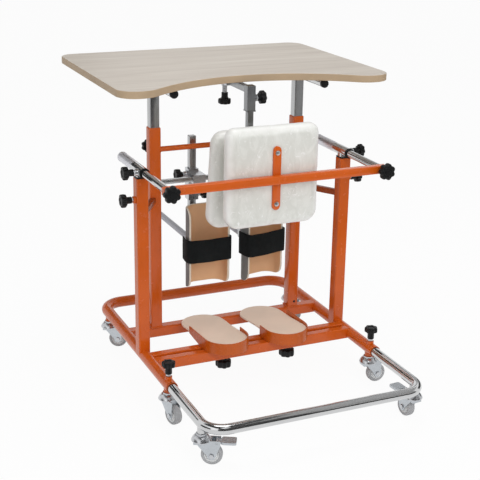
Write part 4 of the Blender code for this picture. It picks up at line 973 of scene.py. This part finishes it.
def pad(node, name, taper, upper_curve, loose):
    """An upholstered pad, blown up as cloth and fitted to its solid, loose at the left and below."""
    low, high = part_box(node)
    low = low - Vector(loose)
    middle, half = (low + high) / 2, (high - low) / 2 * 0.985
    bm = bmesh.new()
    rings = []
    for inset, share in COVER_EDGE:
        outline = cover_outline(half, taper, upper_curve, inset)
        rings.append([bm.verts.new(middle + spot + Y * half.y * share) for spot in outline])
    skin(bm, rings)
    bm.faces.new(rings[0])
    bm.faces.new(rings[-1])
    obj = settle(name, bm, [VINYL], BODY_OF[node], [node], 60)
    modify(obj, "REMESH", mode="VOXEL", voxel_size=0.004, use_smooth_shade=True)
    bake(obj)
    inflate(obj, 0.005)
    fit(obj, low, high)
    modify(obj, "SUBSURF", levels=1, render_levels=1)
    bake(obj)
    obj.data.shade_smooth()
    obj.data.materials.clear()
    obj.data.materials.append(VINYL.material)


# Stage

def looked_at(tree):
    """One where a surface is seen straight, in a reflection or through something clear, and else nought."""
    path = tree.nodes.new("ShaderNodeLightPath")
    seen = path.outputs["Is Camera Ray"]
    for kind in ("Is Glossy Ray", "Is Transmission Ray"):
        most = tree.nodes.new("ShaderNodeMath")
        most.operation = "MAXIMUM"
        tree.links.new(seen, most.inputs[0])
        tree.links.new(path.outputs[kind], most.inputs[1])
        seen = most.outputs[0]
    return seen


def sheet_of_stage(name, width, height, grey, rough):
    """A plain matt rectangle that belongs to the stage, and the nodes of its paint."""
    bm = bmesh.new()
    bmesh.ops.create_grid(bm, x_segments=1, y_segments=1, size=0.5)
    bmesh.ops.scale(bm, vec=(width, height, 1), verts=bm.verts)
    mesh = bpy.data.meshes.new(name)
    bm.to_mesh(mesh)
    bm.free()
    obj = bpy.data.objects.new(name, mesh)
    bpy.context.scene.collection.objects.link(obj)
    paint = bpy.data.materials.new(name)
    paint.use_nodes = True
    mesh.materials.append(paint)
    shader = paint.node_tree.nodes["Principled BSDF"]
    shader.inputs["Base Color"].default_value = (grey, grey, grey, 1)
    shader.inputs["Roughness"].default_value = rough
    return obj, paint.node_tree


def floor():
    """A pale floor that shows nearly white and keeps the object's shadow."""
    _, tree = sheet_of_stage("floor", 60, 60, 0.86, 0.9)
    nodes, links = tree.nodes, tree.links
    shader = nodes["Principled BSDF"]
    shader.inputs["Specular IOR Level"].default_value = 0.0
    glow = nodes.new("ShaderNodeEmission")
    mix = nodes.new("ShaderNodeMixShader")
    share = nodes.new("ShaderNodeMath")
    share.operation = "MULTIPLY"
    share.inputs[1].default_value = 0.94
    links.new(looked_at(tree), share.inputs[0])
    links.new(share.outputs[0], mix.inputs["Fac"])
    links.new(shader.outputs[0], mix.inputs[1])
    links.new(glow.outputs[0], mix.inputs[2])
    links.new(mix.outputs[0], nodes["Material Output"].inputs["Surface"])


def surroundings():
    """White where they are seen, and dimmer as a light."""
    world = bpy.data.worlds.new("studio")
    bpy.context.scene.world = world
    world.use_nodes = True
    tree = world.node_tree
    sky = tree.nodes["Background"]
    sky.inputs["Color"].default_value = (1, 1, 1, 1)
    level = tree.nodes.new("ShaderNodeMapRange")
    level.inputs["To Min"].default_value = 0.54
    level.inputs["To Max"].default_value = 1.0
    tree.links.new(looked_at(tree), level.inputs["Value"])
    tree.links.new(level.outputs["Result"], sky.inputs["Strength"])


def lamp(name, place, size, energy):
    """A soft round lamp that looks at the middle of the object."""
    middle = Vector((0, 0, 0.4))
    data = bpy.data.lights.new(name, "AREA")
    data.shape = "DISK"
    data.size = size
    data.energy = energy
    obj = bpy.data.objects.new(name, data)
    obj.location = place
    obj.rotation_euler = (middle - Vector(place)).to_track_quat("-Z", "Y").to_euler()
    bpy.context.scene.collection.objects.link(obj)


def card(name, place, aim, width, height, grey):
    """A grey card that shows only in the plating's reflections."""
    obj, _ = sheet_of_stage(name, width, height, grey, 1.0)
    obj.location = place
    obj.rotation_euler = (Vector(aim) - Vector(place)).to_track_quat("Z", "Y").to_euler()
    obj.visible_camera = False
    obj.visible_diffuse = False
    obj.visible_shadow = False
    obj.visible_transmission = False


def camera():
    """The camera at the photograph's angle."""
    eye = bpy.data.cameras.new("camera")
    eye.lens = 82.416
    eye.sensor_width = 36
    eye.sensor_fit = "HORIZONTAL"
    azimuth, fall, roll = 0.4199, 0.3307, 0.0167
    look = Vector((math.sin(azimuth) * math.cos(fall), math.cos(azimuth) * math.cos(fall), -math.sin(fall)))
    level = look.cross(Z).normalized()
    rise = level.cross(look)
    right = level * math.cos(roll) + rise * math.sin(roll)
    up = rise * math.cos(roll) - level * math.sin(roll)
    turn = Matrix((right, up, -look)).transposed().to_4x4()
    obj = bpy.data.objects.new("camera", eye)
    obj.matrix_world = Matrix.Translation((-1.1061, -2.4411, 1.2947)) @ turn
    bpy.context.scene.collection.objects.link(obj)
    bpy.context.scene.camera = obj


def stage():
    """Floor, white surroundings, soft lamps, grey cards and the camera."""
    floor()
    surroundings()
    lamp("key", (-0.2, -2.5, 2.1), 1.8, 22)
    lamp("fill", (-2.4, -1.8, 1.6), 2.4, 5)
    lamp("low", (-0.2, -3.0, 0.6), 1.6, 7)
    lamp("top", (0, -0.1, 3.0), 1.6, 20)
    card("card_low", (0.7, -1.30, 0.17), (0.7, 0, 0.17), 3.2, 0.34, 0.05)
    card("card_front_left", (-0.25, -1.45, 0.85), (-0.25, 0, 0.85), 1.5, 1.00, 0.08)
    card("card_front_right", (1.45, -1.45, 0.85), (1.45, 0, 0.85), 1.9, 1.00, 0.60)
    card("card_above_left", (-0.9, -0.8, 3.6), (-0.9, -0.8, 0), 4.6, 5.0, 0.08)
    card("card_above_right", (3.2, -0.8, 3.6), (3.2, -0.8, 0), 3.6, 5.0, 0.85)
    card("card_left", (-2.0, -0.3, 0.5), (0, 0, 0.5), 1.6, 0.8, 0.06)
    card("card_back", (-0.9, 2.6, 1.4), (-0.9, 0, 1.4), 2.6, 1.0, 0.06)
    card("card_far", (2.2, 3.0, 3.7), (2.2, 0, 3.7), 2.4, 3.6, 0.60)
    card("card_right", (1.9, 0.4, 0.5), (0, 0, 0.5), 1.8, 0.8, 0.06)
    camera()
    bpy.context.scene.view_settings.view_transform = "Standard"


steelwork()
extension()
table()
arms()
hip()
chest()
knees()
feet()
casters()
knobs()
pad("chest_pad", "chest_cushion", 0.011, 0.034, (0.007, 0, 0.003))
pad("hip_pad", "hip_cushion", 0.001, 0.024, (0.005, 0, 0.005))
stage()

bpy.context.view_layer.update()
